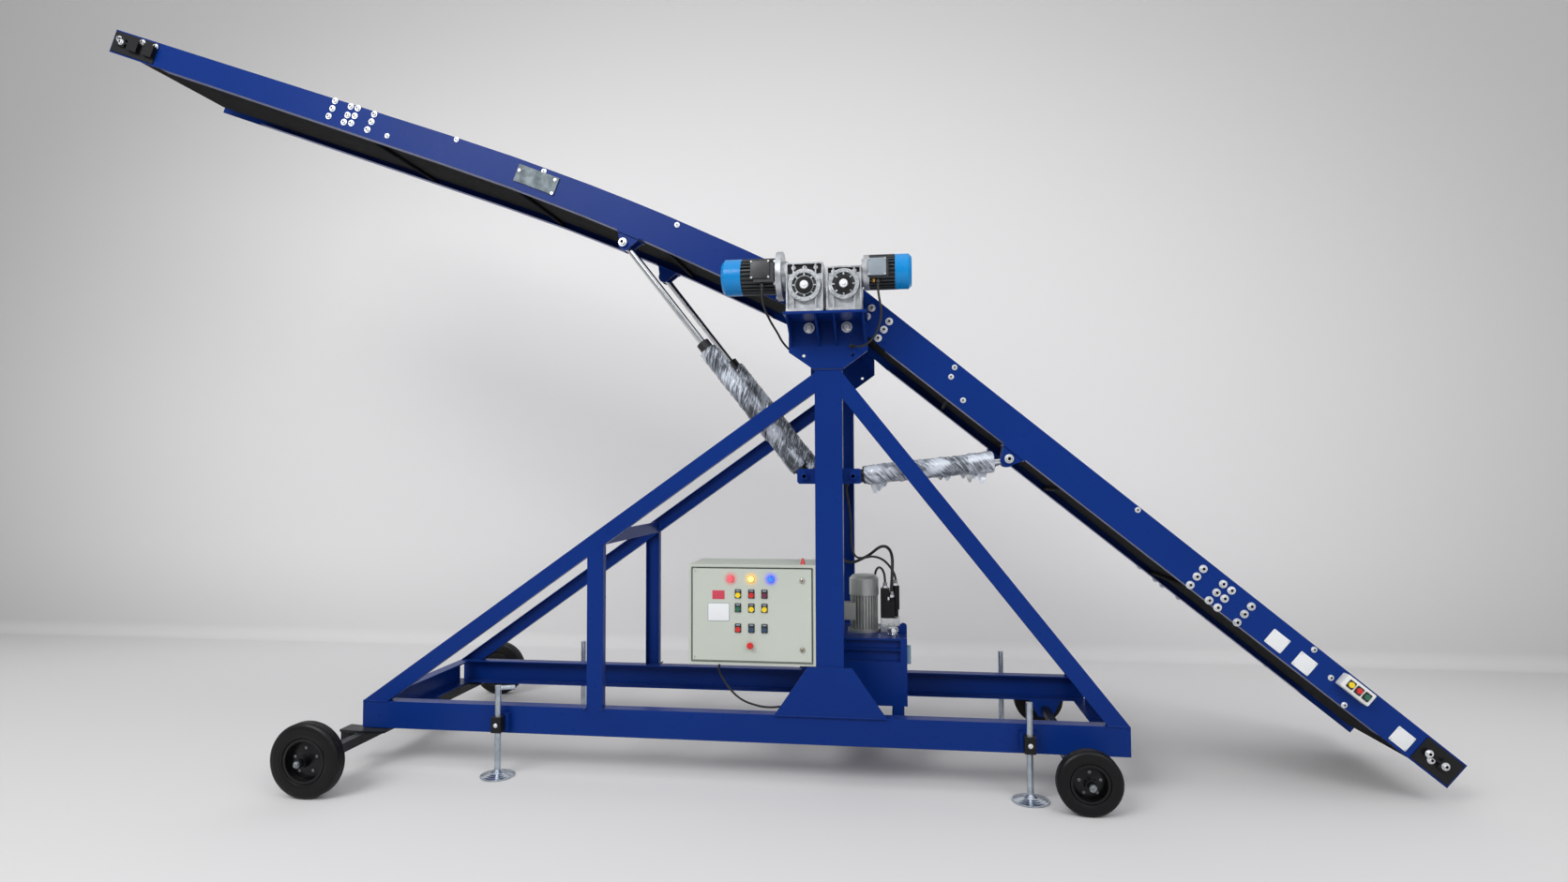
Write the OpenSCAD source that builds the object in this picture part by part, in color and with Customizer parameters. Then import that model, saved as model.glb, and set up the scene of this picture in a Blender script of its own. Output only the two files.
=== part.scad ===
// Mobile bag stacker conveyor: a wheeled channel frame carries a braced mast. A feed boom and
// a stacking boom turn on the drum shafts at the mast head and are lifted by paired cylinders.
// Millimetres. +Z is up, +X points to the feed end and -Y is the side with the cabinet.

/* [Base frame] */
// Reach of the rails from the mast to the stacking end
rail_left = 2320; // [2150:10:2500]
// Reach of the rails from the mast to the feed end
rail_right = 1318; // [1250:2:1500]
// Width over the outer faces of the rails
frame_w = 992; // [960:4:1060]
// Height of the top of the rails above the floor
rail_top = 318; // [312:1:340]
// Depth of a rail channel
rail_h = 130; // [110:1:134]
// Width of a rail flange
rail_flange = 65; // [50:1:75]
// Wall of a rail channel
rail_wall = 7; // [5:0.5:10]

/* [Mast] */
// Width of a mast post
post_w = 128; // [110:2:150]
// Depth of a mast post
post_flange = 65; // [50:1:75]
// Wall of a mast post
post_wall = 7; // [5:0.5:10]
// Height of the top of the posts
post_top = 1917; // [1850:1:1950]
// Height of a post's foot gusset
gusset_h = 224; // [160:2:300]
// Width of a gusset along its top edge
gusset_top_w = 206; // [160:2:260]
// Width of a gusset along the rail
gusset_foot_w = 518; // [400:2:640]
// Thickness of a gusset
gusset_t = 8; // [6:1:12]

/* [Braces] */
// Depth of a brace channel
brace_d = 75; // [60:1:100]
// Width of a brace flange
brace_flange = 40; // [30:1:60]
// Wall of a brace channel
brace_wall = 5; // [4:0.5:9]
// Distance of the uprights from the mast
upright_x = 1126; // [900:2:1400]
// Width of an upright
upright_w = 80; // [60:2:100]
// Depth of an upright
upright_flange = 40; // [30:1:45]

/* [Mast head] */
// Width of a head plate
head_w = 370; // [340:2:420]
// Height of a head plate above its post
head_h = 287; // [279:1:295]
// Height of the part of a head plate that tapers to its post
head_taper_h = 86; // [50:1:120]
// Thickness of the head plates
head_plate_t = 12; // [8:1:16]
// Height of the shelf that carries the gearboxes above the posts
shelf_h = 240; // [223:1:248]
// Reach of the shelf from the head plate
shelf_reach = 206; // [196:2:240]
// Distance between the two drum shafts
shaft_gap = 176; // [170:1:190]
// Height of the drum shafts above the posts
shaft_h = 358; // [353:1:368]
// Radius of a drum shaft
shaft_r = 20; // [15:0.5:22]

/* [Booms] */
// Width over the booms' side plates
boom_w = 800; // [760:2:820]
// Thickness of a side plate
side_t = 5; // [4:0.5:8]
// Width of a belt
belt_w = 640; // [500:10:660]
// Thickness of a belt
belt_t = 4; // [3:0.5:6]
// Radius of a drive drum
drum_r = 50; // [44:1:54]
// Radius of an end roller
end_roller_r = 42; // [34:1:44]
// Radius of a side plate's end around its drum shaft
side_end_r = 76; // [70:1:80]
// Depth of a side plate below the boom's centre line
side_below = 88; // [84:1:100]
// Height of a side plate above the centre line at the free end
tip_above = 62; // [56:1:70]
// Depth of a side plate below the centre line at the free end
tip_below = 66; // [56:1:76]
// Length of the stacking boom along its centre line
upper_length = 4155; // [3800:5:4400]
// Slope of the stacking boom at its drum shaft
upper_pitch = 28; // [24:0.5:31]
// Angle by which the stacking boom flattens on its way out
upper_bend = 8; // [4:0.5:12]
// Length of the bent part of the stacking boom
upper_bend_length = 2094; // [1600:2:2600]
// Length of the feed boom
lower_length = 3355; // [3200:5:3400]
// Slope of the feed boom
lower_pitch = 39.7; // [36:0.1:40.2]
// Distance of the stacking boom's lift lugs from its shaft
upper_lug_s = 977; // [900:1:1040]
// Distance of the feed boom's lift lugs from its shaft
lower_lug_s = 1064; // [1000:1:1120]

/* [Lift cylinders] */
// Distance of the cylinders' base pins below the tops of the posts
anchor_drop = 496; // [480:1:540]
// Distance of the stacking side's base pins from the mast
upper_anchor_x = 120; // [110:1:130]
// Distance of the feed side's base pins from the mast
lower_anchor_x = 110; // [106:1:130]
// Distance of the cylinders from the centre plane
cylinder_y = 355; // [340:1:360]
// Radius of a cylinder's barrel
barrel_r = 42; // [36:1:44]
// Length of a stacking side barrel from its base pin
upper_barrel = 835; // [780:5:860]
// Length of a feed side barrel from its base pin
lower_barrel = 600; // [560:2:620]
// Radius of the stacking side rods
upper_rod_r = 17; // [12:0.5:20]
// Radius of the feed side rods
lower_rod_r = 17; // [12:0.5:20]
// Radius of the cylinder pins
lift_pin_r = 14; // [10:0.5:16]

/* [Wheels] */
// Radius of the steered wheels
steer_wheel_r = 167; // [160:1:176]
// Width of the steered wheels' tyres
steer_tyre_w = 70; // [60:1:84]
// Distance of the steered wheels from the centre plane
steer_track_y = 918; // [890:2:940]
// Distance of the steered axle from the mast
steer_x = 2300; // [2260:1:2302]
// Radius of the fixed wheels
fixed_wheel_r = 136; // [130:1:146]
// Width of the fixed wheels' tyres
fixed_tyre_w = 66; // [58:1:80]
// Distance of the fixed wheels from the centre plane
fixed_track_y = 682; // [660:2:720]
// Distance of the fixed axle from the mast
fixed_x = 1102; // [1080:1:1130]
// Radius of the wheel spindles
spindle_r = 12; // [10:0.5:14]

/* [Jacks] */
// Distance of the stacking end's jacks from the mast
jack_left_x = 1584; // [1500:2:1620]
// Distance of the feed end's jacks from the mast
jack_right_x = 880; // [860:2:920]
// Distance of the jacks from the centre plane
jack_y = 552; // [545:1:575]
// Height of the top of a jack screw
jack_top = 426; // [400:1:460]
// Radius of a jack screw
jack_r = 15; // [12:0.5:17]
// Radius of a jack foot
jack_foot_r = 80; // [60:1:90]

/* [Control cabinet] */
// Width of the cabinet
cabinet_w = 600; // [560:2:640]
// Height of the cabinet
cabinet_h = 465; // [420:1:500]
// Depth of the cabinet
cabinet_d = 280; // [220:1:300]
// Height of the cabinet's floor
cabinet_z = 544; // [540:1:600]
// Thickness of the cabinet's folded walls
cabinet_t = 4; // [2:0.5:6]
// Width of the frame around the door
door_margin = 19; // [14:1:30]
// Thickness of the door
door_t = 18; // [14:1:24]

/* [Power pack] */
// Length of the oil tank
tank_l = 460; // [420:2:480]
// Width of the oil tank
tank_w = 420; // [360:2:480]
// Height of the oil tank's lid
tank_top = 626; // [600:2:660]
// Height of the oil tank's floor
tank_floor = 300; // [290:1:316]
// Distance of the tank's middle from the mast
tank_x = 124; // [110:1:140]
// Radius of the pump motor
pump_motor_r = 75; // [60:1:80]
// Height of the pump motor
pump_motor_h = 286; // [260:2:330]

/* [Gear motors] */
// Width of the stacking side gearbox
upper_gearbox_w = 167; // [150:1:170]
// Height of the stacking side gearbox
upper_gearbox_h = 222; // [210:1:236]
// Width of the feed side gearbox
lower_gearbox_w = 156; // [150:1:168]
// Height of the feed side gearbox
lower_gearbox_h = 200; // [190:1:216]
// Depth of a gearbox
gearbox_d = 178; // [160:1:185]
// Radius of the stacking side motor
upper_motor_r = 83; // [70:1:86]
// Length of the stacking side motor
upper_motor_l = 300; // [260:2:320]
// Radius of the feed side motor
lower_motor_r = 79; // [64:1:82]
// Length of the feed side motor
lower_motor_l = 222; // [210:2:250]

/* [Hidden] */
$fn = 48;
// Cuts run past the faces that they leave by this much.
overrun = 2;
// Radial room of a pin or shaft in its bore
running_fit = 0.05;
// Room between a sliding rod and its gland, and between a belt and what it runs on
slide_fit = 0.4;

paint = [0.08, 0.16, 0.45];
dark_steel = [0.07, 0.07, 0.08];
zinc = [0.75, 0.76, 0.77];
rubber = [0.04, 0.04, 0.045];
cast_alloy = [0.68, 0.69, 0.70];
motor_grey = [0.20, 0.22, 0.22];
cowl_blue = [0.0, 0.45, 0.78];
cabinet_grey = [0.78, 0.79, 0.74];
pump_grey = [0.55, 0.57, 0.53];
signal_red = [0.8, 0.05, 0.04];

frame_half = frame_w / 2;
boom_half = boom_w / 2;
boom_in = boom_half - side_t;
rail_bottom = rail_top - rail_h;
head_top = post_top + head_h;
head_shoulder = post_top + head_taper_h;
shelf_top = post_top + shelf_h;
shaft_z = post_top + shaft_h;
anchor_z = post_top - anchor_drop;

// A profile drawn in X and Z, drawn out along Y
module across(y0, y1) translate([0, y1, 0]) rotate([90, 0, 0]) linear_extrude(y1 - y0) children();

// A profile drawn in Y and Z, drawn out along X
module along(x0, x1) translate([x0, 0, 0]) rotate([90, 0, 90]) linear_extrude(x1 - x0) children();

// A profile drawn in X and Y, drawn out along Z
module upward(z0, z1) translate([0, 0, z0]) linear_extrude(z1 - z0) children();

// A round bar along Y between two places
module bar_y(x, z, r, y0, y1) translate([x, y1, z]) rotate([90, 0, 0]) cylinder(r = r, h = y1 - y0);

// A round bar along X between two places
module bar_x(y, z, r, x0, x1) translate([x0, y, z]) rotate([0, 90, 0]) cylinder(r = r, h = x1 - x0);

// What is drawn on the near side, and again mirrored on the far side
module both_sides() {
    children();
    mirror([0, 1, 0]) children();
}

// Open channel section with its web on the left
module c_section(flange, depth, wall) difference() {
    square([flange, depth]);
    translate([wall, wall]) square([flange, depth - 2 * wall]);
}

function lerp(a, b, t) = a + (b - a) * t;
function sorted(v) = len(v) == 0 ? [] :
    let (p = v[floor(len(v) / 2)])
    concat(sorted([for (x = v) if (x < p) x]), [p], sorted([for (x = v) if (x > p) x]));

// Booms. A boom is [length, bend angle, bent length, lug place], in its own plane: the first
// coordinate runs out along the boom from its shaft and the second one stands off its centre line.
UPPER = [upper_length, upper_bend, upper_bend_length, upper_lug_s];
LOWER = [lower_length, 0, lower_length, lower_lug_s];
BEND_STEPS = 5;
return_shares = [0.20, 0.41, 0.62];
side_knee_s = 300;
takeup_l = 330;
roller_inset = 72;
lug_half = 62;

function bend_at(b, s) = b[1] * min(s / b[2], 1);
function bend_radius(b) = b[2] / (b[1] * PI / 180);
function centre_at(b, s) =
    b[1] == 0 ? [s, 0] :
    let (a = bend_at(b, s), r = bend_radius(b), rest = max(s - b[2], 0))
    [r * sin(a) + rest * cos(a), -r * (1 - cos(a)) - rest * sin(a)];
function off_centre(b, s, w) =
    let (a = bend_at(b, s))
    centre_at(b, s) + w * [sin(a), cos(a)];
function stations(b) = sorted(concat(
    [0, side_knee_s, b[0] - takeup_l, b[0] - roller_inset, b[0], b[3] - lug_half, b[3] + lug_half],
    [for (share = return_shares) b[0] * share],
    b[1] == 0 ? [] : [for (i = [1:BEND_STEPS]) b[2] * i / BEND_STEPS]));
function between(b, s0, s1) = [for (s = stations(b)) if (s >= s0 && s <= s1) s];

function above_at(b, s) = lerp(side_end_r, tip_above, s / b[0]);
function below_at(b, s) = s < side_knee_s ? lerp(side_end_r, side_below, s / side_knee_s) :
    lerp(side_below, tip_below, (s - side_knee_s) / (b[0] - side_knee_s));
function run_at(b, s) = lerp(drum_r, end_roller_r, s / (b[0] - roller_inset));
function reversed(v) = [for (i = [len(v) - 1:-1:0]) v[i]];
function edge_above(b, list, d) = [for (s = list) off_centre(b, s, above_at(b, s) - d)];
function edge_below(b, list, d) = [for (s = list) off_centre(b, s, d - below_at(b, s))];
function run_line(b, list, d) = [for (s = list) off_centre(b, s, run_at(b, s) + d)];
function return_line(b, list, d) = [for (s = list) off_centre(b, s, -run_at(b, s) - d)];

function upper_place(p) = [
    -shaft_gap / 2 - p[0] * cos(upper_pitch) + p[1] * sin(upper_pitch),
    shaft_z + p[0] * sin(upper_pitch) + p[1] * cos(upper_pitch)];
function lower_place(p) = [
    shaft_gap / 2 + p[0] * cos(lower_pitch) + p[1] * sin(lower_pitch),
    shaft_z - p[0] * sin(lower_pitch) + p[1] * cos(lower_pitch)];

// The origin lies on the floor below the middle of the whole machine.
function end_corners(b) = concat(edge_above(b, [b[0]], 0), edge_below(b, [b[0]], 0));
far_left = min([for (p = end_corners(UPPER)) upper_place(p)[0]]);
far_right = max([for (p = end_corners(LOWER)) lower_place(p)[0]]);
shift_x = -(far_left + far_right) / 2;

module in_frame() translate([shift_x, 0, 0]) children();
module in_upper() in_frame() translate([-shaft_gap / 2, 0, shaft_z]) mirror([1, 0, 0])
    rotate([0, -upper_pitch, 0]) children();
module in_lower() in_frame() translate([shaft_gap / 2, 0, shaft_z]) rotate([0, lower_pitch, 0]) children();

// Base frame: two long channels with their webs outwards, tied by cross beams
tie_t = 8;
tie_h = 62;
tie_half = frame_half - brace_flange;
crossbeam_half = frame_half - rail_flange;
pack_beam_x_shares = [-0.38, 0.40];
pack_beam_w = 60;
pack_beam_h = 70;
hanger_t = 10;
hanger_top = 84;
hanger_foot = 38;

module base_rails() color(paint) in_frame() both_sides()
    along(-rail_left, rail_right) translate([-frame_half, rail_bottom])
        c_section(rail_flange, rail_h, rail_wall);

module crossbeam(x) across(-crossbeam_half, crossbeam_half) translate([x, rail_bottom])
    c_section(rail_flange, rail_h, rail_wall);

// Hanger plate under a rail, with a square hole that the fixed axle passes through
module hanger() difference() {
    polygon([
        [fixed_x - hanger_top, rail_bottom], [fixed_x + hanger_top, rail_bottom],
        [fixed_x + hanger_foot, fixed_wheel_r - hanger_foot],
        [fixed_x - hanger_foot, fixed_wheel_r - hanger_foot]]);
    translate([fixed_x - fixed_bar / 2 - slide_fit, fixed_wheel_r - fixed_bar / 2 - slide_fit])
        square([fixed_bar + 2 * slide_fit, fixed_bar + 2 * slide_fit]);
}

module base_crossbeams() color(paint) in_frame() {
    crossbeam(-rail_left);
    upward(rail_bottom - turn_plate_t, rail_bottom) translate([-steer_x, 0]) difference() {
        intersection() {
            circle(r = turn_plate_r);
            translate([steer_x - rail_left, -turn_plate_r]) square([2 * turn_plate_r, 2 * turn_plate_r]);
        }
        circle(r = king_pin_r + running_fit);
    }
    mirror([1, 0, 0]) crossbeam(-rail_right);
    for (share = pack_beam_x_shares) across(-crossbeam_half, crossbeam_half)
        translate([tank_x + tank_l * share - pack_beam_w / 2, rail_bottom])
            c_section(pack_beam_w, pack_beam_h, rail_wall);
    across(-tie_half, tie_half)
        translate([-upright_x + upright_w / 2 - tie_t, brace_under(upright_x - upright_w / 2)])
            square([tie_t, tie_h]);
    both_sides() across(-frame_half + rail_flange - hanger_t, -frame_half + rail_flange) hanger();
}

// Mast: two channel posts on the rails, each with a trapezoid gusset over its foot
module mast_posts() color(paint) in_frame() both_sides() {
    upward(rail_top, post_top) translate([-post_w / 2, -frame_half]) difference() {
        square([post_w, post_flange]);
        translate([post_wall, post_wall]) square([post_w - 2 * post_wall, post_flange]);
    }
    across(-frame_half - gusset_t, -frame_half) polygon([
        [-gusset_foot_w / 2, rail_top], [gusset_foot_w / 2, rail_top],
        [gusset_top_w / 2, rail_top + gusset_h], [-gusset_top_w / 2, rail_top + gusset_h]]);
}

// Braces: slanting channels from the post tops to the rail ends
brace_head_drop = 12;
upright_in = frame_half - upright_flange;
brace_rise = post_top - brace_head_drop - rail_top;
function brace_pitch(reach) = atan(brace_rise / (reach - post_w / 2));
function brace_under(x) = post_top - brace_head_drop - brace_d / cos(brace_pitch(rail_left))
    - (x - post_w / 2) * tan(brace_pitch(rail_left));

// A stretch of a brace between two depths below its upper edge, on the feed side
module brace_band(reach, d0, d1) let (
    a = brace_pitch(reach), x0 = post_w / 2, x1 = reach, z0 = post_top - brace_head_drop
) polygon([
    [x0, z0 - d0 / cos(a)], [x1 - d0 / sin(a), rail_top],
    [x1 - d1 / sin(a), rail_top], [x0, z0 - d1 / cos(a)]]);

module brace(reach) {
    across(-frame_half, -frame_half + brace_wall) brace_band(reach, 0, brace_d);
    across(-frame_half, -frame_half + brace_flange) brace_band(reach, 0, brace_wall);
    across(-frame_half, -frame_half + brace_flange) brace_band(reach, brace_d - brace_wall, brace_d);
}

module braces() color(paint) in_frame() both_sides() {
    brace(rail_right);
    mirror([1, 0, 0]) brace(rail_left);
}

module brace_uprights() color(paint) in_frame() both_sides() intersection() {
    upward(rail_top, post_top) translate([-upright_x - upright_w / 2, -frame_half]) difference() {
        square([upright_w, upright_flange]);
        translate([brace_wall, brace_wall]) square([upright_w - 2 * brace_wall, upright_flange]);
    }
    across(-frame_half - overrun, frame_half) polygon([
        [-upright_x - upright_w, rail_top], [-upright_x + upright_w, rail_top],
        [-upright_x + upright_w, brace_under(upright_x - upright_w)],
        [-upright_x - upright_w, brace_under(upright_x + upright_w)]]);
}

// Mast head: tapered plates with a ledge for the bearings, and on the near side a ribbed shelf
ledge_w = 74;
rib_t = 8;
rib_h = 118;
head_hole_r = 8;
head_hole_x_share = 0.62;
head_hole_drop = 18;
head_hole_z = head_shoulder - head_hole_drop;
rib_x_shares = [-0.46, -0.11, 0.11, 0.46];
tie_tube_drop = 89;
tie_tube_r = 21;

module head_outline() polygon([
    [-post_w / 2, post_top], [post_w / 2, post_top], [head_w / 2, head_shoulder],
    [head_w / 2, head_top], [-head_w / 2, head_top], [-head_w / 2, head_shoulder]]);

module head_plate() {
    across(-frame_half, -frame_half + head_plate_t) difference() {
        head_outline();
        translate([head_w / 2 * head_hole_x_share, head_hole_z]) circle(r = head_hole_r);
        translate([-head_w / 2 * head_hole_x_share, head_hole_z]) circle(r = head_hole_r);
    }
    upward(head_top - head_plate_t, head_top)
        translate([-head_w / 2, -frame_half]) square([head_w, ledge_w]);
}

module head_plates() color(paint) in_frame() {
    both_sides() head_plate();
    upward(shelf_top - head_plate_t, shelf_top)
        translate([-head_w / 2, -frame_half - shelf_reach]) square([head_w, shelf_reach]);
    for (share = rib_x_shares) along(head_w * share - rib_t / 2, head_w * share + rib_t / 2) polygon([
        [-frame_half, shelf_top - head_plate_t],
        [-frame_half - shelf_reach + rib_t, shelf_top - head_plate_t],
        [-frame_half, shelf_top - head_plate_t - rib_h]]);
}

// Mast ties: two bolted tubes across the head, and the cross tube with the clevis plates
// that hold the base pins of all four cylinders
clevis_t = 14;
clevis_h = 72;
clevis_gap = 120;
clevis_end = 36;
clevis_corner = 10;
pin_head_r = 18;
pin_head_t = 9;
anchor_tube = 74;
post_web = frame_half - post_wall;

module clevis_plate() let (
    x0 = -upper_anchor_x - clevis_end, x1 = lower_anchor_x + clevis_end,
    z0 = anchor_z - clevis_h / 2, z1 = anchor_z + clevis_h / 2, c = clevis_corner
) polygon([
    [x0 + c, z0], [x1 - c, z0], [x1, z0 + c], [x1, z1 - c],
    [x1 - c, z1], [x0 + c, z1], [x0, z1 - c], [x0, z0 + c]]);

module clevis_pair() for (y = [cylinder_y - clevis_gap / 2 - clevis_t, cylinder_y + clevis_gap / 2])
    across(y, y + clevis_t) clevis_plate();

module mast_ties() color(paint) in_frame() {
    for (x = [-shaft_gap / 2, shaft_gap / 2]) {
        bar_y(x, head_top - tie_tube_drop, tie_tube_r, -frame_half + head_plate_t, frame_half - head_plate_t);
    }
    across(-post_web, post_web) translate([-anchor_tube / 2, anchor_z - anchor_tube / 2])
        square([anchor_tube, anchor_tube]);
    both_sides() difference() {
        clevis_pair();
        across(0, frame_half) translate([-anchor_tube / 2, anchor_z - anchor_tube / 2])
            square([anchor_tube, anchor_tube]);
    }
    both_sides() for (x = [-upper_anchor_x, lower_anchor_x]) {
        bar_y(x, anchor_z, lift_pin_r, cylinder_y - clevis_gap / 2, cylinder_y + clevis_gap / 2);
        bar_y(x, anchor_z, pin_head_r, cylinder_y + clevis_gap / 2 + clevis_t,
            cylinder_y + clevis_gap / 2 + clevis_t + pin_head_t);
    }
}

// Pillow blocks on the head ledges, one at each end of each drum shaft
block_l = 140;
block_w = 40;
block_foot_h = 22;
block_r = 42;

module bearing_block(x) difference() {
    union() {
        upward(head_top, head_top + block_foot_h) translate([x - block_l / 2, -block_w / 2])
            square([block_l, block_w]);
        upward(head_top, shaft_z) translate([x - block_r, -block_w / 2]) square([2 * block_r, block_w]);
        bar_y(x, shaft_z, block_r, -block_w / 2, block_w / 2);
    }
    bar_y(x, shaft_z, shaft_r + running_fit, -block_w, block_w);
}

block_y = frame_half - ledge_w / 2;

module bearing_blocks() color(dark_steel) in_frame() both_sides() translate([0, -block_y, 0])
    for (x = [-shaft_gap / 2, shaft_gap / 2]) bearing_block(x);

// Gearboxes: square worm boxes on the shelf, with a bolted round cover over the hollow output shaft
gearbox_inset = 4;
gearbox_back = frame_half + shelf_reach - gearbox_inset;
gearbox_wall = 7;
gearbox_cover_shares = [0.44, 0.33];
gearbox_cover_t = 10;
gearbox_pocket = 16;
gearbox_foot_t = 12;
gearbox_foot_over = 9;
gearbox_rib_t = 6;
gearbox_rib_shares = [-0.30, 0.30];
collar_r = 29;
shaft_proud = 4;

module gearbox(x, w, h) {
    front = -gearbox_back;
    cover_r = w * gearbox_cover_shares[0];
    difference() {
        union() {
            upward(shelf_top, shelf_top + h) translate([x - w / 2, front + gearbox_cover_t])
                square([w, gearbox_d - gearbox_cover_t]);
            upward(shelf_top, shelf_top + gearbox_foot_t)
                translate([x - w / 2, front + gearbox_cover_t - gearbox_foot_over])
                    square([w, gearbox_d - gearbox_cover_t + gearbox_foot_over]);
            bar_y(x, shaft_z, cover_r, front, front + gearbox_pocket + gearbox_cover_t);
        }
        across(front + gearbox_cover_t - overrun, front + gearbox_cover_t + gearbox_pocket) difference() {
            translate([x - w / 2 + gearbox_wall, shelf_top + gearbox_foot_t])
                square([w - 2 * gearbox_wall, h - gearbox_wall - gearbox_foot_t]);
            translate([x, shaft_z]) circle(r = cover_r);
            for (share = gearbox_rib_shares) translate([x + w * share - gearbox_rib_t / 2, shelf_top])
                square([gearbox_rib_t, h]);
        }
        across(front - overrun, front + gearbox_cover_t) translate([x, shaft_z]) difference() {
            circle(r = w * gearbox_cover_shares[1]);
            circle(r = collar_r);
        }
        bar_y(x, shaft_z, shaft_r + running_fit, front - overrun, front + gearbox_d + overrun);
    }
}

module gearboxes() color(cast_alloy) in_frame() {
    gearbox(-shaft_gap / 2, upper_gearbox_w, upper_gearbox_h);
    gearbox(shaft_gap / 2, lower_gearbox_w, lower_gearbox_h);
}

// Motors: a cast flange against the gearbox, a finned body with a terminal box, and a fan cowl
upper_motor_rise = 62;
lower_motor_rise = 65;
upper_motor_z = shaft_z + upper_motor_rise;
lower_motor_z = shaft_z + lower_motor_rise;
upper_motor_x = shaft_gap / 2 + upper_gearbox_w / 2;
lower_motor_x = shaft_gap / 2 + lower_gearbox_w / 2;
motor_y = -gearbox_back + gearbox_d / 2;
upper_neck_l = 20;
lower_neck_l = 8;
neck_share = 0.80;
flange_t = 26;
flange_share = 1.34;
motor_fins = 28;
motor_fin_share = 0.86;
fin_shares = [0, 0.4, 0.5, 0.9];
upper_cowl_l = 92;
lower_cowl_l = 74;
cowl_round = 14;
cowl_slots = 12;
cowl_slot_w = 6;
cowl_slot_shares = [0.30, 0.74];
upper_terminal_l = 92;
lower_terminal_l = 80;
terminal_inset = 6;
terminal_h = 84;
terminal_d = 40;
terminal_drop_share = 0.55;

function finned(r) = [for (i = [0:motor_fins - 1], k = [0:3])
    let (a = 360 * (i + fin_shares[k]) / motor_fins, q = k < 2 ? r : r * motor_fin_share)
    [q * cos(a), q * sin(a)]];

// A motor is [distance from the mast, height, radius, length, neck, cowl length, terminal box length].
UPPER_MOTOR = [upper_motor_x, upper_motor_z, upper_motor_r, upper_motor_l, upper_neck_l, upper_cowl_l,
    upper_terminal_l];
LOWER_MOTOR = [lower_motor_x, lower_motor_z, lower_motor_r, lower_motor_l, lower_neck_l, lower_cowl_l,
    lower_terminal_l];

module at_motor(m) translate([m[0], motor_y, m[1]]) children();

module motor_flange(m, share) at_motor(m) {
    along(0, m[4]) circle(r = m[2] * neck_share);
    along(m[4], m[4] + flange_t) circle(r = m[2] * share);
}

module motor(m) at_motor(m) {
    along(m[4] + flange_t, m[3] - m[5]) polygon(finned(m[2]));
    translate([m[4] + flange_t + terminal_inset, -m[2] - terminal_d / 2, -terminal_h * terminal_drop_share])
        cube([m[6], terminal_d, terminal_h]);
}

module motor_cowl(m) let (r = m[2], l = m[3], l0 = m[3] - m[5]) at_motor(m) rotate([0, 90, 0]) difference() {
    rotate_extrude() polygon([[0, l0], [r, l0], [r, l - cowl_round], [r - cowl_round, l], [0, l]]);
    for (i = [1:cowl_slots]) rotate(360 * i / cowl_slots)
        translate([r * cowl_slot_shares[0], -cowl_slot_w / 2, l - cowl_round])
            cube([r * (cowl_slot_shares[1] - cowl_slot_shares[0]), cowl_slot_w, cowl_round + overrun]);
}

module motor_flanges() color(cast_alloy) in_frame() {
    mirror([1, 0, 0]) motor_flange(UPPER_MOTOR, flange_share);
    motor_flange(LOWER_MOTOR, 1);
}

module motors() color(motor_grey) in_frame() {
    mirror([1, 0, 0]) motor(UPPER_MOTOR);
    motor(LOWER_MOTOR);
}

module motor_cowls() color(cowl_blue) in_frame() {
    mirror([1, 0, 0]) motor_cowl(UPPER_MOTOR);
    motor_cowl(LOWER_MOTOR);
}

// Drive drums on their shafts: each boom turns about one of them
module drive_drums() color(zinc) in_frame() for (x = [-shaft_gap / 2, shaft_gap / 2]) {
    bar_y(x, shaft_z, drum_r - slide_fit, -belt_w / 2 - overrun, belt_w / 2 + overrun);
    bar_y(x, shaft_z, shaft_r, -gearbox_back - shaft_proud, block_y + block_w / 2);
}

// Boom sides: a web with folded lips, a hub round the shaft and clevis lugs for the lift rods
lip_top = 26;
lip_bottom = 64;
lip_t = 4;
hub_r = 40;
hub_t = 14;
lug_drop = 52;
lug_ear_t = 10;
lug_ear_gap = 54;
lug_r = 32;
lug_base_t = 8;
lug_base_in = 96;

module boom_web(b) {
    list = stations(b);
    polygon(concat(edge_above(b, list, 0), reversed(edge_below(b, list, 0))));
    circle(r = side_end_r);
}

module boom_lips(b) {
    list = between(b, side_knee_s, b[0] - takeup_l);
    across(-boom_half, -boom_half + lip_top)
        polygon(concat(edge_above(b, list, 0), reversed(edge_above(b, list, lip_t))));
    across(-boom_half, -boom_half + lip_bottom)
        polygon(concat(edge_below(b, list, 0), reversed(edge_below(b, list, lip_t))));
}

function lug_pin(b) = off_centre(b, b[3], -below_at(b, b[3]) - lug_drop);

module lug_ear(b) {
    list = between(b, b[3] - lug_half, b[3] + lug_half);
    pin = lug_pin(b);
    polygon(concat(edge_below(b, list, 0), [pin + [lug_r, 0], pin - [lug_r, 0]]));
    translate(pin) circle(r = lug_r);
}

module boom_lug(b) {
    list = between(b, b[3] - lug_half, b[3] + lug_half);
    pin = lug_pin(b);
    across(-boom_half, -boom_half + lug_base_in)
        polygon(concat(edge_below(b, list, 0), reversed(edge_below(b, list, -lug_base_t))));
    for (y = [-cylinder_y - lug_ear_gap / 2 - lug_ear_t, -cylinder_y + lug_ear_gap / 2]) {
        across(y, y + lug_ear_t) lug_ear(b);
    }
    lug_face = -cylinder_y - lug_ear_gap / 2 - lug_ear_t;
    bar_y(pin[0], pin[1], pin_head_r, lug_face - pin_head_t, lug_face);
}

module boom_side(b) difference() {
    union() {
        across(-boom_half, -boom_in) boom_web(b);
        boom_lips(b);
        boom_lug(b);
        bar_y(0, 0, hub_r, -boom_half, -boom_half + hub_t);
    }
    bar_y(0, 0, shaft_r + running_fit, -boom_half - overrun, -boom_half + hub_t + overrun);
}

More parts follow.
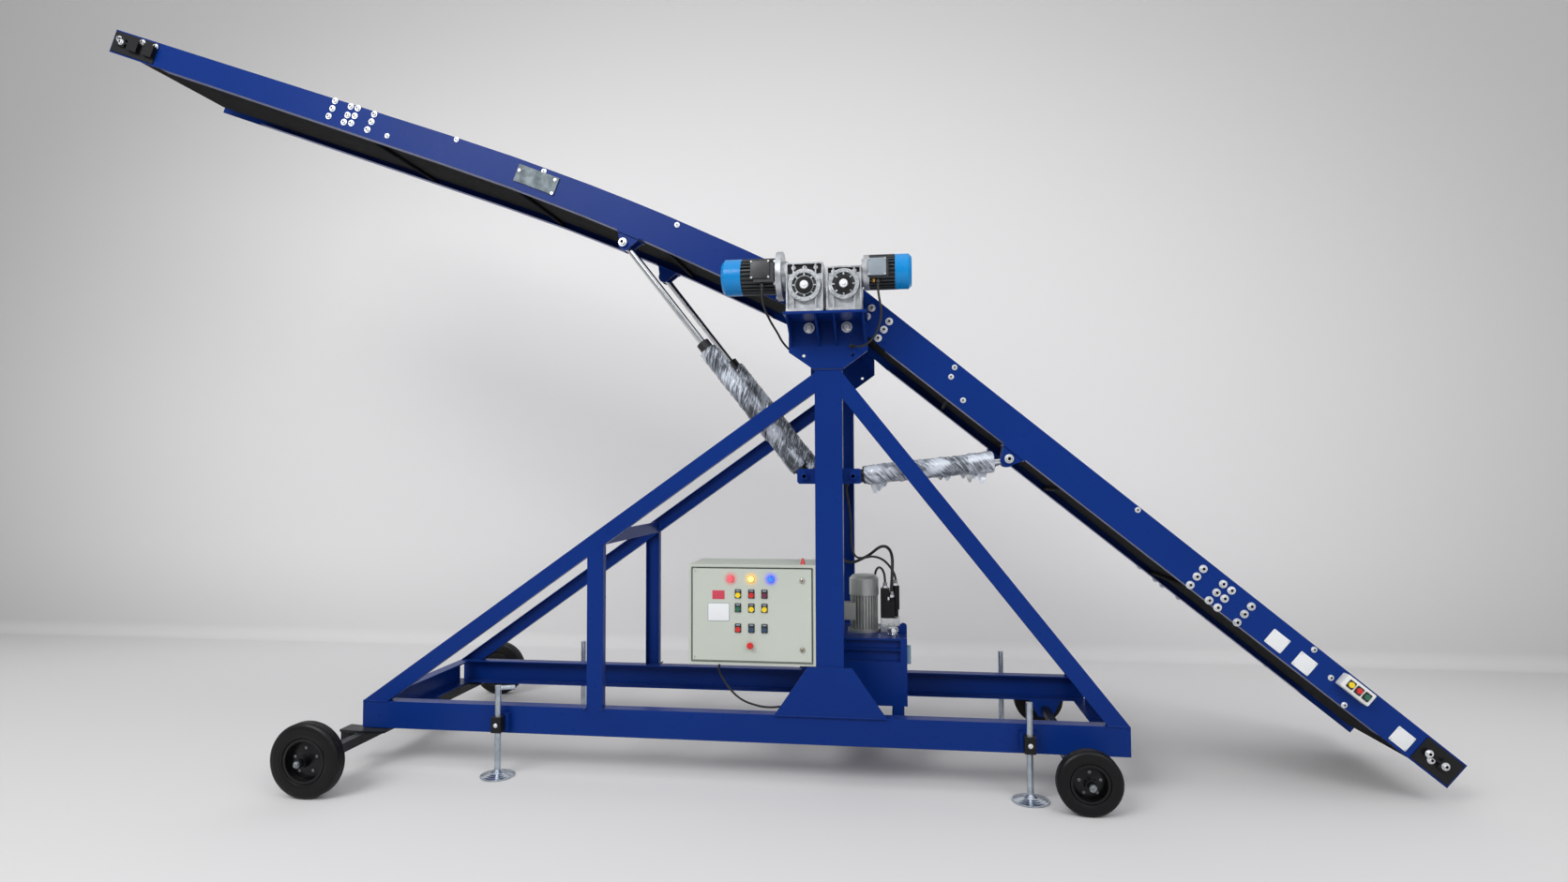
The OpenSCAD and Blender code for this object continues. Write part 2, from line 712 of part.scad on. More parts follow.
module upper_sides() color(paint) in_upper() both_sides() boom_side(UPPER);
module lower_sides() color(paint) in_lower() both_sides() boom_side(LOWER);

// Boom beds: a sliding pan under the carrying run, cross tubes and return rollers
pan_t = 3;
cross_tube = 40;
cross_shares = [0.14, 0.36, 0.58, 0.78];
return_r = 10;

module boom_bed(b) {
    list = between(b, side_knee_s, b[0] - takeup_l);
    across(-boom_in, boom_in)
        polygon(concat(run_line(b, list, -slide_fit), reversed(run_line(b, list, -slide_fit - pan_t))));
    for (share = cross_shares) let (p = centre_at(b, b[0] * share))
        across(-boom_in, boom_in) translate(p) rotate(-bend_at(b, b[0] * share))
            translate([-cross_tube / 2, -cross_tube / 2]) square([cross_tube, cross_tube]);
    for (share = return_shares)
        let (s = b[0] * share, p = off_centre(b, s, -run_at(b, s) - belt_t - return_r - 2 * slide_fit))
            bar_y(p[0], p[1], return_r, -boom_in, boom_in);
}

module upper_bed() color(dark_steel) in_upper() boom_bed(UPPER);
module lower_bed() color(dark_steel) in_lower() boom_bed(LOWER);

// Belts: one closed loop round the drive drum and the end roller
TURN_STEPS = 20;

// Points of a half turn about an end, between the two runs that it joins
function half_turn(c, r, start) = [for (i = [1:TURN_STEPS - 1])
    let (a = start - 180 * i / TURN_STEPS) c + r * [cos(a), sin(a)]];

module belt_loop(b, d) {
    list = between(b, 0, b[0] - roller_inset);
    polygon(concat(
        run_line(b, list, d),
        half_turn(centre_at(b, b[0] - roller_inset), end_roller_r + d, 90 - bend_at(b, b[0])),
        reversed(return_line(b, list, d)),
        half_turn([0, 0], drum_r + d, -90)));
}

module boom_belt(b) across(-belt_w / 2, belt_w / 2) difference() {
    belt_loop(b, belt_t);
    belt_loop(b, 0);
}

module upper_belt() color(rubber) in_upper() boom_belt(UPPER);
module lower_belt() color(rubber) in_lower() boom_belt(LOWER);

// End rollers on fixed axles in the take-up blocks
roller_axle_r = 12;

module end_roller(b) let (p = centre_at(b, b[0] - roller_inset)) {
    bar_y(p[0], p[1], end_roller_r - slide_fit, -belt_w / 2, belt_w / 2);
    bar_y(p[0], p[1], roller_axle_r, -boom_in, boom_in);
}

module upper_end_roller() color(zinc) in_upper() end_roller(UPPER);
module lower_end_roller() color(zinc) in_lower() end_roller(LOWER);

// Take-ups: black plates on the side plates' ends, with a block on the roller's axle
takeup_t = 5;
takeup_edge = 8;
takeup_plate_l = 190;
long_takeup_plate_l = 286;
takeup_boxes = [82, 182];
takeup_box = 64;
takeup_box_t = 22;
takeup_block = 44;
takeup_block_t = 12;
slot_l = 96;
slot_h = 18;
screw_r = 7;

// Plate with a slot that the roller's axle block is drawn along by a screw
module takeup(b, plate_l) {
    s0 = b[0] - plate_l;
    s1 = b[0] - takeup_edge;
    mid = centre_at(b, b[0] - roller_inset);
    across(-boom_half - takeup_t, -boom_half) difference() {
        polygon([
            off_centre(b, s0, above_at(b, s0) - takeup_edge), off_centre(b, s1, tip_above - takeup_edge),
            off_centre(b, s1, takeup_edge - tip_below), off_centre(b, s0, takeup_edge - below_at(b, s0))]);
        translate(mid) rotate(-bend_at(b, b[0])) translate([-slot_l, -slot_h / 2]) square([slot_l, slot_h]);
    }
    across(-boom_half - takeup_t - takeup_block_t, -boom_half - takeup_t)
        translate(mid) rotate(-bend_at(b, b[0])) translate([-takeup_block / 2, -takeup_block / 2])
            square([takeup_block, takeup_block]);
    translate([mid[0], 0, mid[1]]) rotate([0, bend_at(b, b[0]), 0])
        bar_x(-boom_half - takeup_t - screw_r, 0, screw_r, -slot_l, -takeup_block / 2);
}

// Covers of the nose roller's tension screws, on the long plate behind the axle block
module takeup_covers(b) {
    for (back = takeup_boxes) let (at = b[0] - roller_inset - back)
        across(-boom_half - takeup_t - takeup_box_t, -boom_half - takeup_t)
            translate(centre_at(b, at)) rotate(-bend_at(b, at))
                translate([-takeup_box / 2, -takeup_box / 2]) square([takeup_box, takeup_box]);
}

module upper_takeups() color(dark_steel) in_upper() both_sides() {
    takeup(UPPER, long_takeup_plate_l);
    takeup_covers(UPPER);
}
module lower_takeups() color(dark_steel) in_lower() both_sides() takeup(LOWER, takeup_plate_l);

// Cover plate over an opening in the stacking boom's near side
cover_s = 1538;
cover_l = 230;
cover_h_share = 0.59;
cover_t = 6;

module upper_cover() color(zinc) in_upper() across(-boom_half - cover_t, -boom_half)
    translate(centre_at(UPPER, cover_s)) rotate(-bend_at(UPPER, cover_s))
        translate([-cover_l / 2, -side_end_r * cover_h_share])
            square([cover_l, 2 * side_end_r * cover_h_share]);

// Foot station: a small push button box near the feed boom's low end
station_s_share = 0.839;
station_l = 140;
station_h = 60;
station_up = 22;
station_d = 46;
station_button_r = 12;
station_button_h = 14;
station_button_shares = [-0.28, 0, 0.28];

module foot_station() color(cabinet_grey) in_lower()
        translate([lower_length * station_s_share, 0, station_up]) {
    across(-boom_half - station_d, -boom_half) translate([-station_l / 2, -station_h / 2])
        square([station_l, station_h]);
    for (share = station_button_shares)
        bar_y(station_l * share, 0, station_button_r, -boom_half - station_d - station_button_h,
            -boom_half - station_d);
}

// Lift cylinders: a barrel on its base pin and a rod that ends in an eye between the lug's ears
barrel_wall = 9;
barrel_eye_r = 34;
barrel_eye_w = 60;
barrel_start = 44;
gland_l = 46;
rod_eye_r = 27;
rod_eye_w = 40;
rod_hold = 95;
lower_stroke = 375;

upper_base = [-upper_anchor_x, anchor_z];
lower_base = [lower_anchor_x, anchor_z];
upper_eye = upper_place(lug_pin(UPPER));
lower_eye = lower_place(lug_pin(LOWER));
upper_span = norm(upper_eye - upper_base);
lower_span = norm(lower_eye - lower_base);

// Local X runs from the base pin to the rod's eye.
module on_cylinder(base, eye) in_frame() translate([base[0], 0, base[1]])
    rotate([0, -atan2(eye[1] - base[1], eye[0] - base[0]), 0])
        both_sides() translate([0, cylinder_y, 0]) children();

module barrel(l, rod_r) difference() {
    union() {
        bar_y(0, 0, barrel_eye_r, -barrel_eye_w / 2, barrel_eye_w / 2);
        bar_x(0, 0, barrel_eye_w / 2, 0, barrel_start);
        bar_x(0, 0, barrel_r, barrel_start, l - gland_l);
        bar_x(0, 0, barrel_r - barrel_wall, l - gland_l, l);
    }
    bar_y(0, 0, lift_pin_r + running_fit, -barrel_eye_w, barrel_eye_w);
    bar_x(0, 0, barrel_r - barrel_wall, barrel_start + barrel_wall, l - gland_l - barrel_wall);
    bar_x(0, 0, rod_r + slide_fit, l - gland_l - 2 * barrel_wall, l + overrun);
}

module rod(span, hold, rod_r) difference() {
    union() {
        bar_x(0, 0, rod_r, hold, span - rod_eye_r / 2);
        bar_y(span, 0, rod_eye_r, -rod_eye_w / 2, rod_eye_w / 2);
    }
    bar_y(span, 0, lift_pin_r, -rod_eye_w, rod_eye_w);
}

module upper_barrels() color(zinc) on_cylinder(upper_base, upper_eye) barrel(upper_barrel, upper_rod_r);
module upper_rods() color(zinc) on_cylinder(upper_base, upper_eye)
    rod(upper_span, upper_barrel - rod_hold, upper_rod_r);
module lower_barrels() color(zinc) on_cylinder(lower_base, lower_eye) barrel(lower_barrel, lower_rod_r);
module lower_rods() color(zinc) on_cylinder(lower_base, lower_eye)
    rod(lower_span, lower_barrel - lower_stroke - rod_hold, lower_rod_r);

// Wheels: a ribbed rubber tyre on a dished steel rim with a hub
tyre_shares = [[0.56, 0.36], [0.60, 0.36], [0.62, 0.45], [0.70, 0.50], [0.84, 0.50], [0.93, 0.46],
    [0.98, 0.38], [1, 0.28]];
groove_w = 5;
groove_d = 5;
groove_shares = [-0.2, 0, 0.2];
rim_share = 0.56;
rim_flange_shares = [0.595, 0.36, 0.42];
rim_wall = 6;
rim_disc_t = 7;
rim_disc_shares = [-0.10, 0.06];
hub_out_r = 27;
hub_in = 60;
hub_out = 50;

// Half section of a tyre: out along the radius, then along the axle
module tyre_section(r, w) difference() {
    polygon(concat([for (p = tyre_shares) [r * p[0], -w * p[1]]],
        reversed([for (p = tyre_shares) [r * p[0], w * p[1]]])));
    for (share = groove_shares) translate([r - groove_d, w * share - groove_w / 2])
        square([groove_d + overrun, groove_w]);
}

module tyre(x, y, r, w) translate([x, y, r]) rotate([90, 0, 0]) rotate_extrude() tyre_section(r, w);

// Half section of a rim: a barrel with flanges, a dished disc, and the hub that the spindle turns in
module rim_section(r, w) {
    seat = r * rim_share;
    flange0 = w * rim_flange_shares[1];
    flange1 = w * rim_flange_shares[2];
    translate([seat - rim_wall, -flange1]) square([rim_wall, 2 * flange1]);
    for (z = [-flange1, flange0]) translate([seat - rim_wall, z])
        square([r * rim_flange_shares[0] - seat + rim_wall, flange1 - flange0]);
    polygon([
        [hub_out_r - rim_wall, w * rim_disc_shares[1]], [seat - rim_wall / 2, w * rim_disc_shares[0]],
        [seat - rim_wall / 2, w * rim_disc_shares[0] + rim_disc_t],
        [hub_out_r - rim_wall, w * rim_disc_shares[1] + rim_disc_t]]);
    translate([spindle_r + running_fit, -hub_in])
        square([hub_out_r - spindle_r - running_fit, hub_in + hub_out]);
}

// The rim's dished face looks outwards.
module rim(x, y, r, w) translate([x, y, r]) rotate([y < 0 ? 90 : -90, 0, 0])
    rotate_extrude() rim_section(r, w);

module steer_tyre_near() color(rubber) in_frame()
    tyre(-steer_x, -steer_track_y, steer_wheel_r, steer_tyre_w);
module steer_tyre_far() color(rubber) in_frame()
    tyre(-steer_x, steer_track_y, steer_wheel_r, steer_tyre_w);
module fixed_tyre_near() color(rubber) in_frame()
    tyre(fixed_x, -fixed_track_y, fixed_wheel_r, fixed_tyre_w);
module fixed_tyre_far() color(rubber) in_frame()
    tyre(fixed_x, fixed_track_y, fixed_wheel_r, fixed_tyre_w);
module steer_rim_near() color(dark_steel) in_frame()
    rim(-steer_x, -steer_track_y, steer_wheel_r, steer_tyre_w);
module steer_rim_far() color(dark_steel) in_frame()
    rim(-steer_x, steer_track_y, steer_wheel_r, steer_tyre_w);
module fixed_rim_near() color(dark_steel) in_frame()
    rim(fixed_x, -fixed_track_y, fixed_wheel_r, fixed_tyre_w);
module fixed_rim_far() color(dark_steel) in_frame()
    rim(fixed_x, fixed_track_y, fixed_wheel_r, fixed_tyre_w);

// Steered axle: a bar on a king pin under the stacking end, with a spindle and nut at each end
// and curved rub plates that slide under the rails
axle_bar = 44;
axle_drop = 8;
turn_plate_t = 8;
turn_plate_r = 95;
king_pin_r = 18;
spindle_nut_r = 19;
spindle_nut_h = 16;
spindle_collar = 3;
tow_l = 130;
tow_eye_r = 42;
tow_eye_bore = 20;
tow_t = 20;
rub_in = 455;
rub_out = 545;
rub_half = 118;
rub_gap = 4;
rub_block = 46;
rub_block_h = 56;

module spindles(x, z, bar_end, hub_y) both_sides() {
    bar_y(x, z, spindle_r, -hub_y - hub_out - spindle_nut_h, -bar_end);
    translate([x, -hub_y - hub_out - spindle_collar, z]) rotate([90, 0, 0])
        cylinder(r = spindle_nut_r, h = spindle_nut_h, $fn = 6);
}

steer_bar_end = steer_track_y - hub_in - spindle_collar;
steer_bar_z = rail_bottom - turn_plate_t - axle_drop - axle_bar / 2;
steer_bar_top = steer_bar_z + axle_bar / 2;

// Ring segment about the king pin under the near rail, with a stop block at its outer end
module rub_plate() {
    upward(steer_bar_top, rail_bottom - rub_gap) translate([-steer_x, 0]) intersection() {
        difference() {
            circle(r = rub_out);
            circle(r = rub_in);
        }
        translate([-rub_half, -rub_out]) square([2 * rub_half, rub_out]);
    }
    translate([-steer_x - rub_half, -(rub_in + rub_out + rub_block) / 2, rail_bottom - rub_gap - rub_block_h])
        cube([rub_block, rub_block, rub_block_h]);
}

module steer_axle() color(dark_steel) in_frame() difference() {
    union() {
        across(-steer_bar_end, steer_bar_end)
            translate([-steer_x - axle_bar / 2, steer_bar_z - axle_bar / 2]) square([axle_bar, axle_bar]);
        both_sides() across(-steer_bar_end, -steer_bar_end + axle_bar)
            translate([-steer_x - axle_bar / 2, steer_bar_z - axle_bar / 2])
                square([axle_bar, steer_wheel_r + hub_out_r - steer_bar_z + axle_bar / 2]);
        both_sides() rub_plate();
        spindles(-steer_x, steer_wheel_r, steer_bar_end, steer_track_y);
        translate([-steer_x, 0, steer_bar_top]) cylinder(r = turn_plate_r, h = axle_drop - overrun);
        translate([-steer_x, 0, steer_bar_z]) cylinder(r = king_pin_r, h = rail_bottom - steer_bar_z);
        upward(steer_bar_z - tow_t / 2, steer_bar_z + tow_t / 2) {
            translate([-steer_x - tow_l, -tow_eye_r]) square([tow_l, 2 * tow_eye_r]);
            translate([-steer_x - tow_l, 0]) circle(r = tow_eye_r);
        }
    }
    upward(steer_bar_z - tow_t, steer_bar_z + tow_t)
        translate([-steer_x - tow_l, 0]) circle(r = tow_eye_bore);
}

// Fixed axle: a square bar through the rails' hangers, with a spindle and nut at each end
fixed_bar = 36;
fixed_bar_end = fixed_track_y - hub_in - spindle_collar;

module fixed_axle() color(dark_steel) in_frame() {
    across(-fixed_bar_end, fixed_bar_end) translate([fixed_x - fixed_bar / 2, fixed_wheel_r - fixed_bar / 2])
        square([fixed_bar, fixed_bar]);
    spindles(fixed_x, fixed_wheel_r, fixed_bar_end, fixed_track_y);
}

// Jacks: a screw with a round foot, in a sleeve on a bracket at the rail's side
sleeve_w = 48;
sleeve_low = 208;
sleeve_high = 281;
bracket_h = 84;
bracket_w = 78;
jack_lift = 2;
jack_foot_t = 5;
jack_cone_h = 26;
jack_cone_shares = [0.94, 0.40];
crank_r = 11;
crank_reach = [72, 26];
jack_x = [-jack_left_x, jack_right_x];
sleeve_mid = (sleeve_low + sleeve_high) / 2;

module jack_sleeves() color(dark_steel) in_frame() both_sides() for (x = jack_x) translate([x, -jack_y, 0])
    upward(sleeve_low, sleeve_high) difference() {
        translate([-sleeve_w / 2, -sleeve_w / 2]) square([sleeve_w, sleeve_w]);
        circle(r = jack_r + slide_fit);
    }

module jack_brackets() color(paint) in_frame() both_sides() for (x = jack_x)
    translate([x - bracket_w / 2, -jack_y + sleeve_w / 2, sleeve_mid - bracket_h / 2])
        cube([bracket_w, jack_y - sleeve_w / 2 - frame_half, bracket_h]);

// A shallow cone stands on the foot's rim, and the crank is a bar bent off the top of the screw.
module jack(x, y, crank) translate([x, y, jack_lift]) {
    cylinder(r = jack_foot_r, h = jack_foot_t);
    translate([0, 0, jack_foot_t])
        cylinder(r1 = jack_foot_r * jack_cone_shares[0], r2 = jack_foot_r * jack_cone_shares[1],
            h = jack_cone_h / 2);
    translate([0, 0, jack_foot_t + jack_cone_h / 2])
        cylinder(r1 = jack_foot_r * jack_cone_shares[1], r2 = jack_r, h = jack_cone_h / 2);
    cylinder(r = jack_r, h = jack_top - jack_lift);
    if (crank) translate([0, 0, jack_top - jack_lift - crank_r])
        rotate([0, 90, atan2(crank_reach[1], crank_reach[0])]) cylinder(r = crank_r, h = norm(crank_reach));
}

module jack_left_near() color(zinc) in_frame() jack(-jack_left_x, -jack_y, true);
module jack_left_far() color(zinc) in_frame() jack(-jack_left_x, jack_y, false);
module jack_right_near() color(zinc) in_frame() jack(jack_right_x, -jack_y, false);
module jack_right_far() color(zinc) in_frame() jack(jack_right_x, jack_y, false);

// Control cabinet: a folded box against the near post. Its front frame holds a flush door on two
// pivot pins at the left edge.
cabinet_right = -post_w / 2;
cabinet_left = cabinet_right - cabinet_w;
cabinet_front = -frame_half;
door_gap = 2;
door_proud = 3;
door_skin = 3;
door_seat = 10;
door_seat_t = 3;
door_room = 5;
inside_front = cabinet_front + door_t + door_room + door_seat_t;
pivot_r = 4;
pivot_l = 16;
pivot_in = 12;
pivot_boss = 9;
door_x0 = cabinet_left + door_margin;
door_x1 = cabinet_right - door_margin;
door_z0 = cabinet_z + door_margin;
door_z1 = cabinet_z + cabinet_h - door_margin;
pivot_x = door_x0 + pivot_in;
pivot_y = cabinet_front;

// A rectangle of the cabinet's front, grown outwards by d
module door_rect(d) translate([door_x0 - d, door_z0 - d])
    square([door_x1 - door_x0 + 2 * d, door_z1 - door_z0 + 2 * d]);

module pivot_pins(r, l) for (z = [door_z0 - door_gap, door_z1 + door_gap - l])
    translate([pivot_x, pivot_y, z]) cylinder(r = r, h = l);

module cabinet_shell() color(cabinet_grey) in_frame() {
    difference() {
        translate([cabinet_left, cabinet_front, cabinet_z]) cube([cabinet_w, cabinet_d, cabinet_h]);
        across(cabinet_front - overrun, cabinet_front + door_t + door_room) door_rect(door_gap);
        across(cabinet_front, cabinet_front + door_t + door_room + 2 * door_seat_t) door_rect(-door_seat);
        translate([cabinet_left + cabinet_t, inside_front, cabinet_z + cabinet_t])
            cube([cabinet_w - 2 * cabinet_t, cabinet_front + cabinet_d - cabinet_t - inside_front,
                cabinet_h - 2 * cabinet_t]);
    }
    pivot_pins(pivot_r, pivot_l);
}

module cabinet_door() color(cabinet_grey) in_frame() difference() {
    union() {
        difference() {
            across(cabinet_front - door_proud, cabinet_front + door_t - slide_fit) door_rect(0);
            across(cabinet_front - door_proud + door_skin, cabinet_front + door_t) door_rect(-door_skin);
        }
        for (z = [door_z0, door_z1 - pivot_l - pivot_boss])
            translate([pivot_x - pivot_boss, cabinet_front - door_proud, z])
                cube([2 * pivot_boss, pivot_boss + door_proud, pivot_l + pivot_boss]);
    }
    for (z = [door_z0 - overrun, door_z1 - pivot_l]) translate([pivot_x, pivot_y, z])
        cylinder(r = pivot_r + running_fit, h = pivot_l + overrun);
}

// Controls on the door: places are shares of the cabinet's width and height
lamp_r = 14;
button_r = 11;
mushroom_r = 16;
mushroom_h = 26;
lock_r = 12;
control_h = 13;
legend_w = 30;
legend_h = 42;
legend_t = 4;
mushroom_stem_share = 0.55;
button_columns_share = [0.393, 0.499, 0.602];
button_rows_share = [0.695, 0.555, 0.353];
lamp_columns_share = [0.335, 0.497, 0.652];
lamp_row_share = 0.858;
mushroom_place_share = [0.492, 0.198];
lock_rows_share = [0.847, 0.163];
lock_column_share = 0.897;
door_face = cabinet_front - door_proud;

module door_knob(column, row, r, h) bar_y(cabinet_left + cabinet_w * column, cabinet_z + cabinet_h * row, r,
    door_face - h, door_face);

// Legend plate behind a button, with a round lower end
module legend(column, row) let (x = cabinet_left + cabinet_w * column, z = cabinet_z + cabinet_h * row)
    across(door_face - legend_t, door_face) translate([x, z]) {
        circle(r = legend_w / 2);
        translate([-legend_w / 2, 0]) square([legend_w, legend_h - legend_w / 2]);
    }

module door_controls() color(dark_steel) in_frame() {
    for (column = lamp_columns_share) door_knob(column, lamp_row_share, lamp_r, control_h);
    for (column = button_columns_share, row = button_rows_share) {
        legend(column, row);
        door_knob(column, row, button_r, control_h);
    }
    door_knob(mushroom_place_share[0], mushroom_place_share[1], mushroom_r * mushroom_stem_share, mushroom_h);
    translate([0, control_h - mushroom_h, 0])
        door_knob(mushroom_place_share[0], mushroom_place_share[1], mushroom_r, control_h);
    for (row = lock_rows_share) door_knob(lock_column_share, row, lock_r, control_h);
}

// Beacon on the cabinet's roof
beacon_x_share = 0.892;
beacon_y = 52;
beacon_r = 12;
beacon_top_r = 5;
beacon_h = 27;

module beacon() color(signal_red) in_frame()
    translate([cabinet_left + cabinet_w * beacon_x_share, cabinet_front + beacon_y, cabinet_z + cabinet_h])
        cylinder(r1 = beacon_r, r2 = beacon_top_r, h = beacon_h);

// Power pack: an oil tank on short legs, with a recess and ledge in its front. Pump motor, manifold
// block and valve stack stand on its lid.
tank_lid = 10;
recess_d = 24;
recess_h = 103;
recess_end = 33;
recess_ledge_drop = 59;
recess_ledge_t = 6;
leg_w = 48;
lug_plate = [52, 8, 34];
lug_plate_r = 18;
lug_plate_y = -60;
pump_x_share = 0.028;
pump_foot_r = 84;
pump_foot_h = 14;
pump_cowl_h = 100;
pump_fin_share = 0.95;
pump_round = 16;
pump_box = [62, 64, 86];
pump_box_at = [-100, -94, 68];
tank_x0 = tank_x - tank_l / 2;
tank_x1 = tank_x + tank_l / 2;

module tank() color(paint) in_frame() {
    difference() {
        translate([tank_x0, -tank_w / 2, tank_floor]) cube([tank_l, tank_w, tank_top - tank_floor]);
        translate([tank_x0 + recess_end, -tank_w / 2 - overrun, tank_top - tank_lid - recess_h])
            cube([tank_l - 2 * recess_end, recess_d + overrun, recess_h]);
    }
    translate([tank_x0 + recess_end, -tank_w / 2, tank_top - recess_ledge_drop])
        cube([tank_l - 2 * recess_end, recess_d, recess_ledge_t]);
    for (share = pack_beam_x_shares, y = [-tank_w / 2, tank_w / 2 - leg_w])
        translate([tank_x + tank_l * share - leg_w / 2, y, rail_bottom + pack_beam_h])
            cube([leg_w, leg_w, tank_floor - rail_bottom - pack_beam_h]);
    translate([tank_x1 - lug_plate[0], lug_plate_y, tank_top]) cube(lug_plate);
    bar_y(tank_x1 - lug_plate_r, tank_top + lug_plate[2], lug_plate_r, lug_plate_y,
        lug_plate_y + lug_plate[1]);
}

module pack_motor() color(pump_grey) in_frame() translate([tank_x + tank_l * pump_x_share, 0, tank_top]) {
    cylinder(r = pump_foot_r, h = pump_foot_h);
    upward(pump_foot_h, pump_motor_h - pump_cowl_h) polygon(finned(pump_motor_r * pump_fin_share));
    translate([0, 0, pump_motor_h - pump_cowl_h]) rotate_extrude() polygon([
        [0, 0], [pump_motor_r, 0], [pump_motor_r, pump_cowl_h - pump_round],
        [pump_motor_r - pump_round, pump_cowl_h], [0, pump_cowl_h]]);
    translate(pump_box_at) cube(pump_box);
}

manifold = [96, 90, 70];
manifold_x_share = 0.3174;
filler_at = [285, -120];
filler_r = 28;
filler_h = 38;
gauge = [20, 30, 93];
gauge_drop = 164;
manifold_x = tank_x + tank_l * manifold_x_share;
manifold_top = tank_top + manifold[2];

module pack_manifold() color(cast_alloy) in_frame() {
    translate([manifold_x - manifold[0] / 2, -manifold[1] / 2, tank_top]) cube(manifold);
    translate([filler_at[0], filler_at[1], tank_top]) cylinder(r = filler_r, h = filler_h);
    translate([tank_x1, -gauge[1] / 2, tank_top - gauge_drop]) cube(gauge);
}

stack_base = [70, 54, 84];
stack_mid = [36, 44, 22];
stack_top = [46, 52, 42];
stack_x = 222;
solenoid_x = 298;
solenoid_r = 20;
solenoid_neck_r = 14;
solenoid_neck_h = 34;
solenoid_h = 156;
port_r = 11;
port_h = 20;
port_at = [278, -14];

module pack_valves() color(dark_steel) in_frame() translate([0, 0, manifold_top]) {
    translate([stack_x, -stack_base[1] / 2, 0]) cube(stack_base);
    translate([stack_x, -stack_mid[1] / 2, stack_base[2]]) cube(stack_mid);
    translate([stack_x, -stack_top[1] / 2, stack_base[2] + stack_mid[2]]) cube(stack_top);
    translate([port_at[0], port_at[1], stack_base[2]]) cylinder(r = port_r, h = port_h);
    translate([solenoid_x, solenoid_r + stack_base[1] / 2, 0]) {
        cylinder(r = solenoid_neck_r, h = solenoid_neck_h);
        translate([0, 0, solenoid_neck_h]) cylinder(r = solenoid_r, h = solenoid_h - solenoid_neck_h);
    }
}

// Cables and hoses: round tubes swept along smooth routes. Points are given from the mast's foot.
CORD_SIDES = 8;
ROUTE_STEPS = 3;
cable_d = 10;
hose_d = 16;
small_hose_d = 12;
cabinet_route = [[-543, -380, 524], [-543, -380, 490], [-518, -380, 438], [-461, -380, 372],
    [-392, -378, 335], [-305, -370, 318], [-235, -335, 318], [-190, -270, 328], [-174, -200, 350],
    [-150, -165, 360], [-126, -165, 360]];
left_motor_route = [[-280, -692, 2271], [-280, -692, 2248], [-278, -682, 2210], [-270, -655, 2172],
    [-252, -604, 2128], [-232, -548, 2090], [-212, -492, 2050], [-178, -456, 2014], [-130, -448, 1985],
    [-70, -452, 1955], [-20, -462, 1908], [0, -470, 1850], [0, -470, 1800], [0, -470, 1765]];
right_motor_route = [[240, -688, 2274], [240, -688, 2245], [246, -684, 2200], [252, -672, 2150],
    [244, -650, 2100], [222, -622, 2052], [185, -592, 2020], [148, -566, 2012], [120, -545, 2019],
    [112, -530, 2024],
    [112, -516, 2024]];
pack_hose_a_route = [[278, -14, 800.4], [278, -14, 850], [283, 0, 935], [281, 25, 1010], [264, 60, 1042],
    [238, 105, 1050], [202, 165, 1032], [158, 225, 994], [92, 305, 954], [35, 355, 930], [-5, 378, 935],
    [-28, 385, 970],
    [-28, 380, 1040], [-25, 372, 1150], [-25, 365, 1260], [-25, 365, 1364]];
pack_hose_b_route = [[298, 47, 852.4], [298, 47, 890], [284, 56, 927], [252, 78, 966], [217, 112, 986],
    [174, 160, 990], [129, 216, 978], [88, 280, 974], [62, 338, 1002], [52, 372, 1062], [50, 380, 1150],
    [40, 370, 1260],
    [28, 365, 1330], [28, 365, 1364]];
pack_hose_c_route = [[190, 106, 646], [190, 106, 700], [190, 104, 790], [194, 94, 870], [210, 72, 922],
    [234, 42, 944], [252, 16, 925], [250, 2, 885], [245, 0, 864], [245, 0, 844.4]];

function spline(p, i, t) = let (
    a = p[max(i - 1, 0)], b = p[i], c = p[i + 1], d = p[min(i + 2, len(p) - 1)])
    b + (c - a) * t / 2 + (2 * a - 5 * b + 4 * c - d) * t * t / 2 + (3 * b - a - 3 * c + d) * t * t * t / 2;
function route(p) = concat([for (i = [0:len(p) - 2], k = [0:ROUTE_STEPS - 1]) spline(p, i, k / ROUTE_STEPS)],
    [p[len(p) - 1]]);
function unit(v) = v / norm(v);
function heading(p, i, ends) = i == 0 ? ends[0] : i == len(p) - 1 ? ends[1] : unit(p[i + 1] - p[i - 1]);

// Directions across the route, each the last one turned as little as the bend asks for
function across_route(p, i, ends) = i == 0 ?
    unit(cross(ends[0], abs(ends[0][0]) < abs(ends[0][2]) ? [1, 0, 0] : [0, 0, 1])) :
    let (n = across_route(p, i - 1, ends), t = heading(p, i, ends)) unit(n - (n * t) * t);
function ring(p, i, n, r, ends) = let (t = heading(p, i, ends), m = cross(t, n))
    [for (k = [0:CORD_SIDES - 1]) p[i] + r * (n * cos(360 * k / CORD_SIDES) + m * sin(360 * k / CORD_SIDES))];

module cord(points, d) {
    p = route(points);
    last = len(p) - 1;
    n = len(points) - 1;
    ends = [unit(points[1] - points[0]), unit(points[n] - points[n - 1])];
    rings = [for (i = [0:last]) ring(p, i, across_route(p, i, ends), d / 2, ends)];
    function at(i, k) = i * CORD_SIDES + k % CORD_SIDES;
    polyhedron([for (q = rings, v = q) v], concat(
        [[for (k = [0:CORD_SIDES - 1]) at(0, k)]],
        [for (i = [0:last - 1], k = [0:CORD_SIDES - 1]) [at(i, k), at(i + 1, k), at(i + 1, k + 1)]],
        [for (i = [0:last - 1], k = [0:CORD_SIDES - 1]) [at(i, k), at(i + 1, k + 1), at(i, k + 1)]],
        [[for (k = [CORD_SIDES - 1:-1:0]) at(last, k)]]));
}

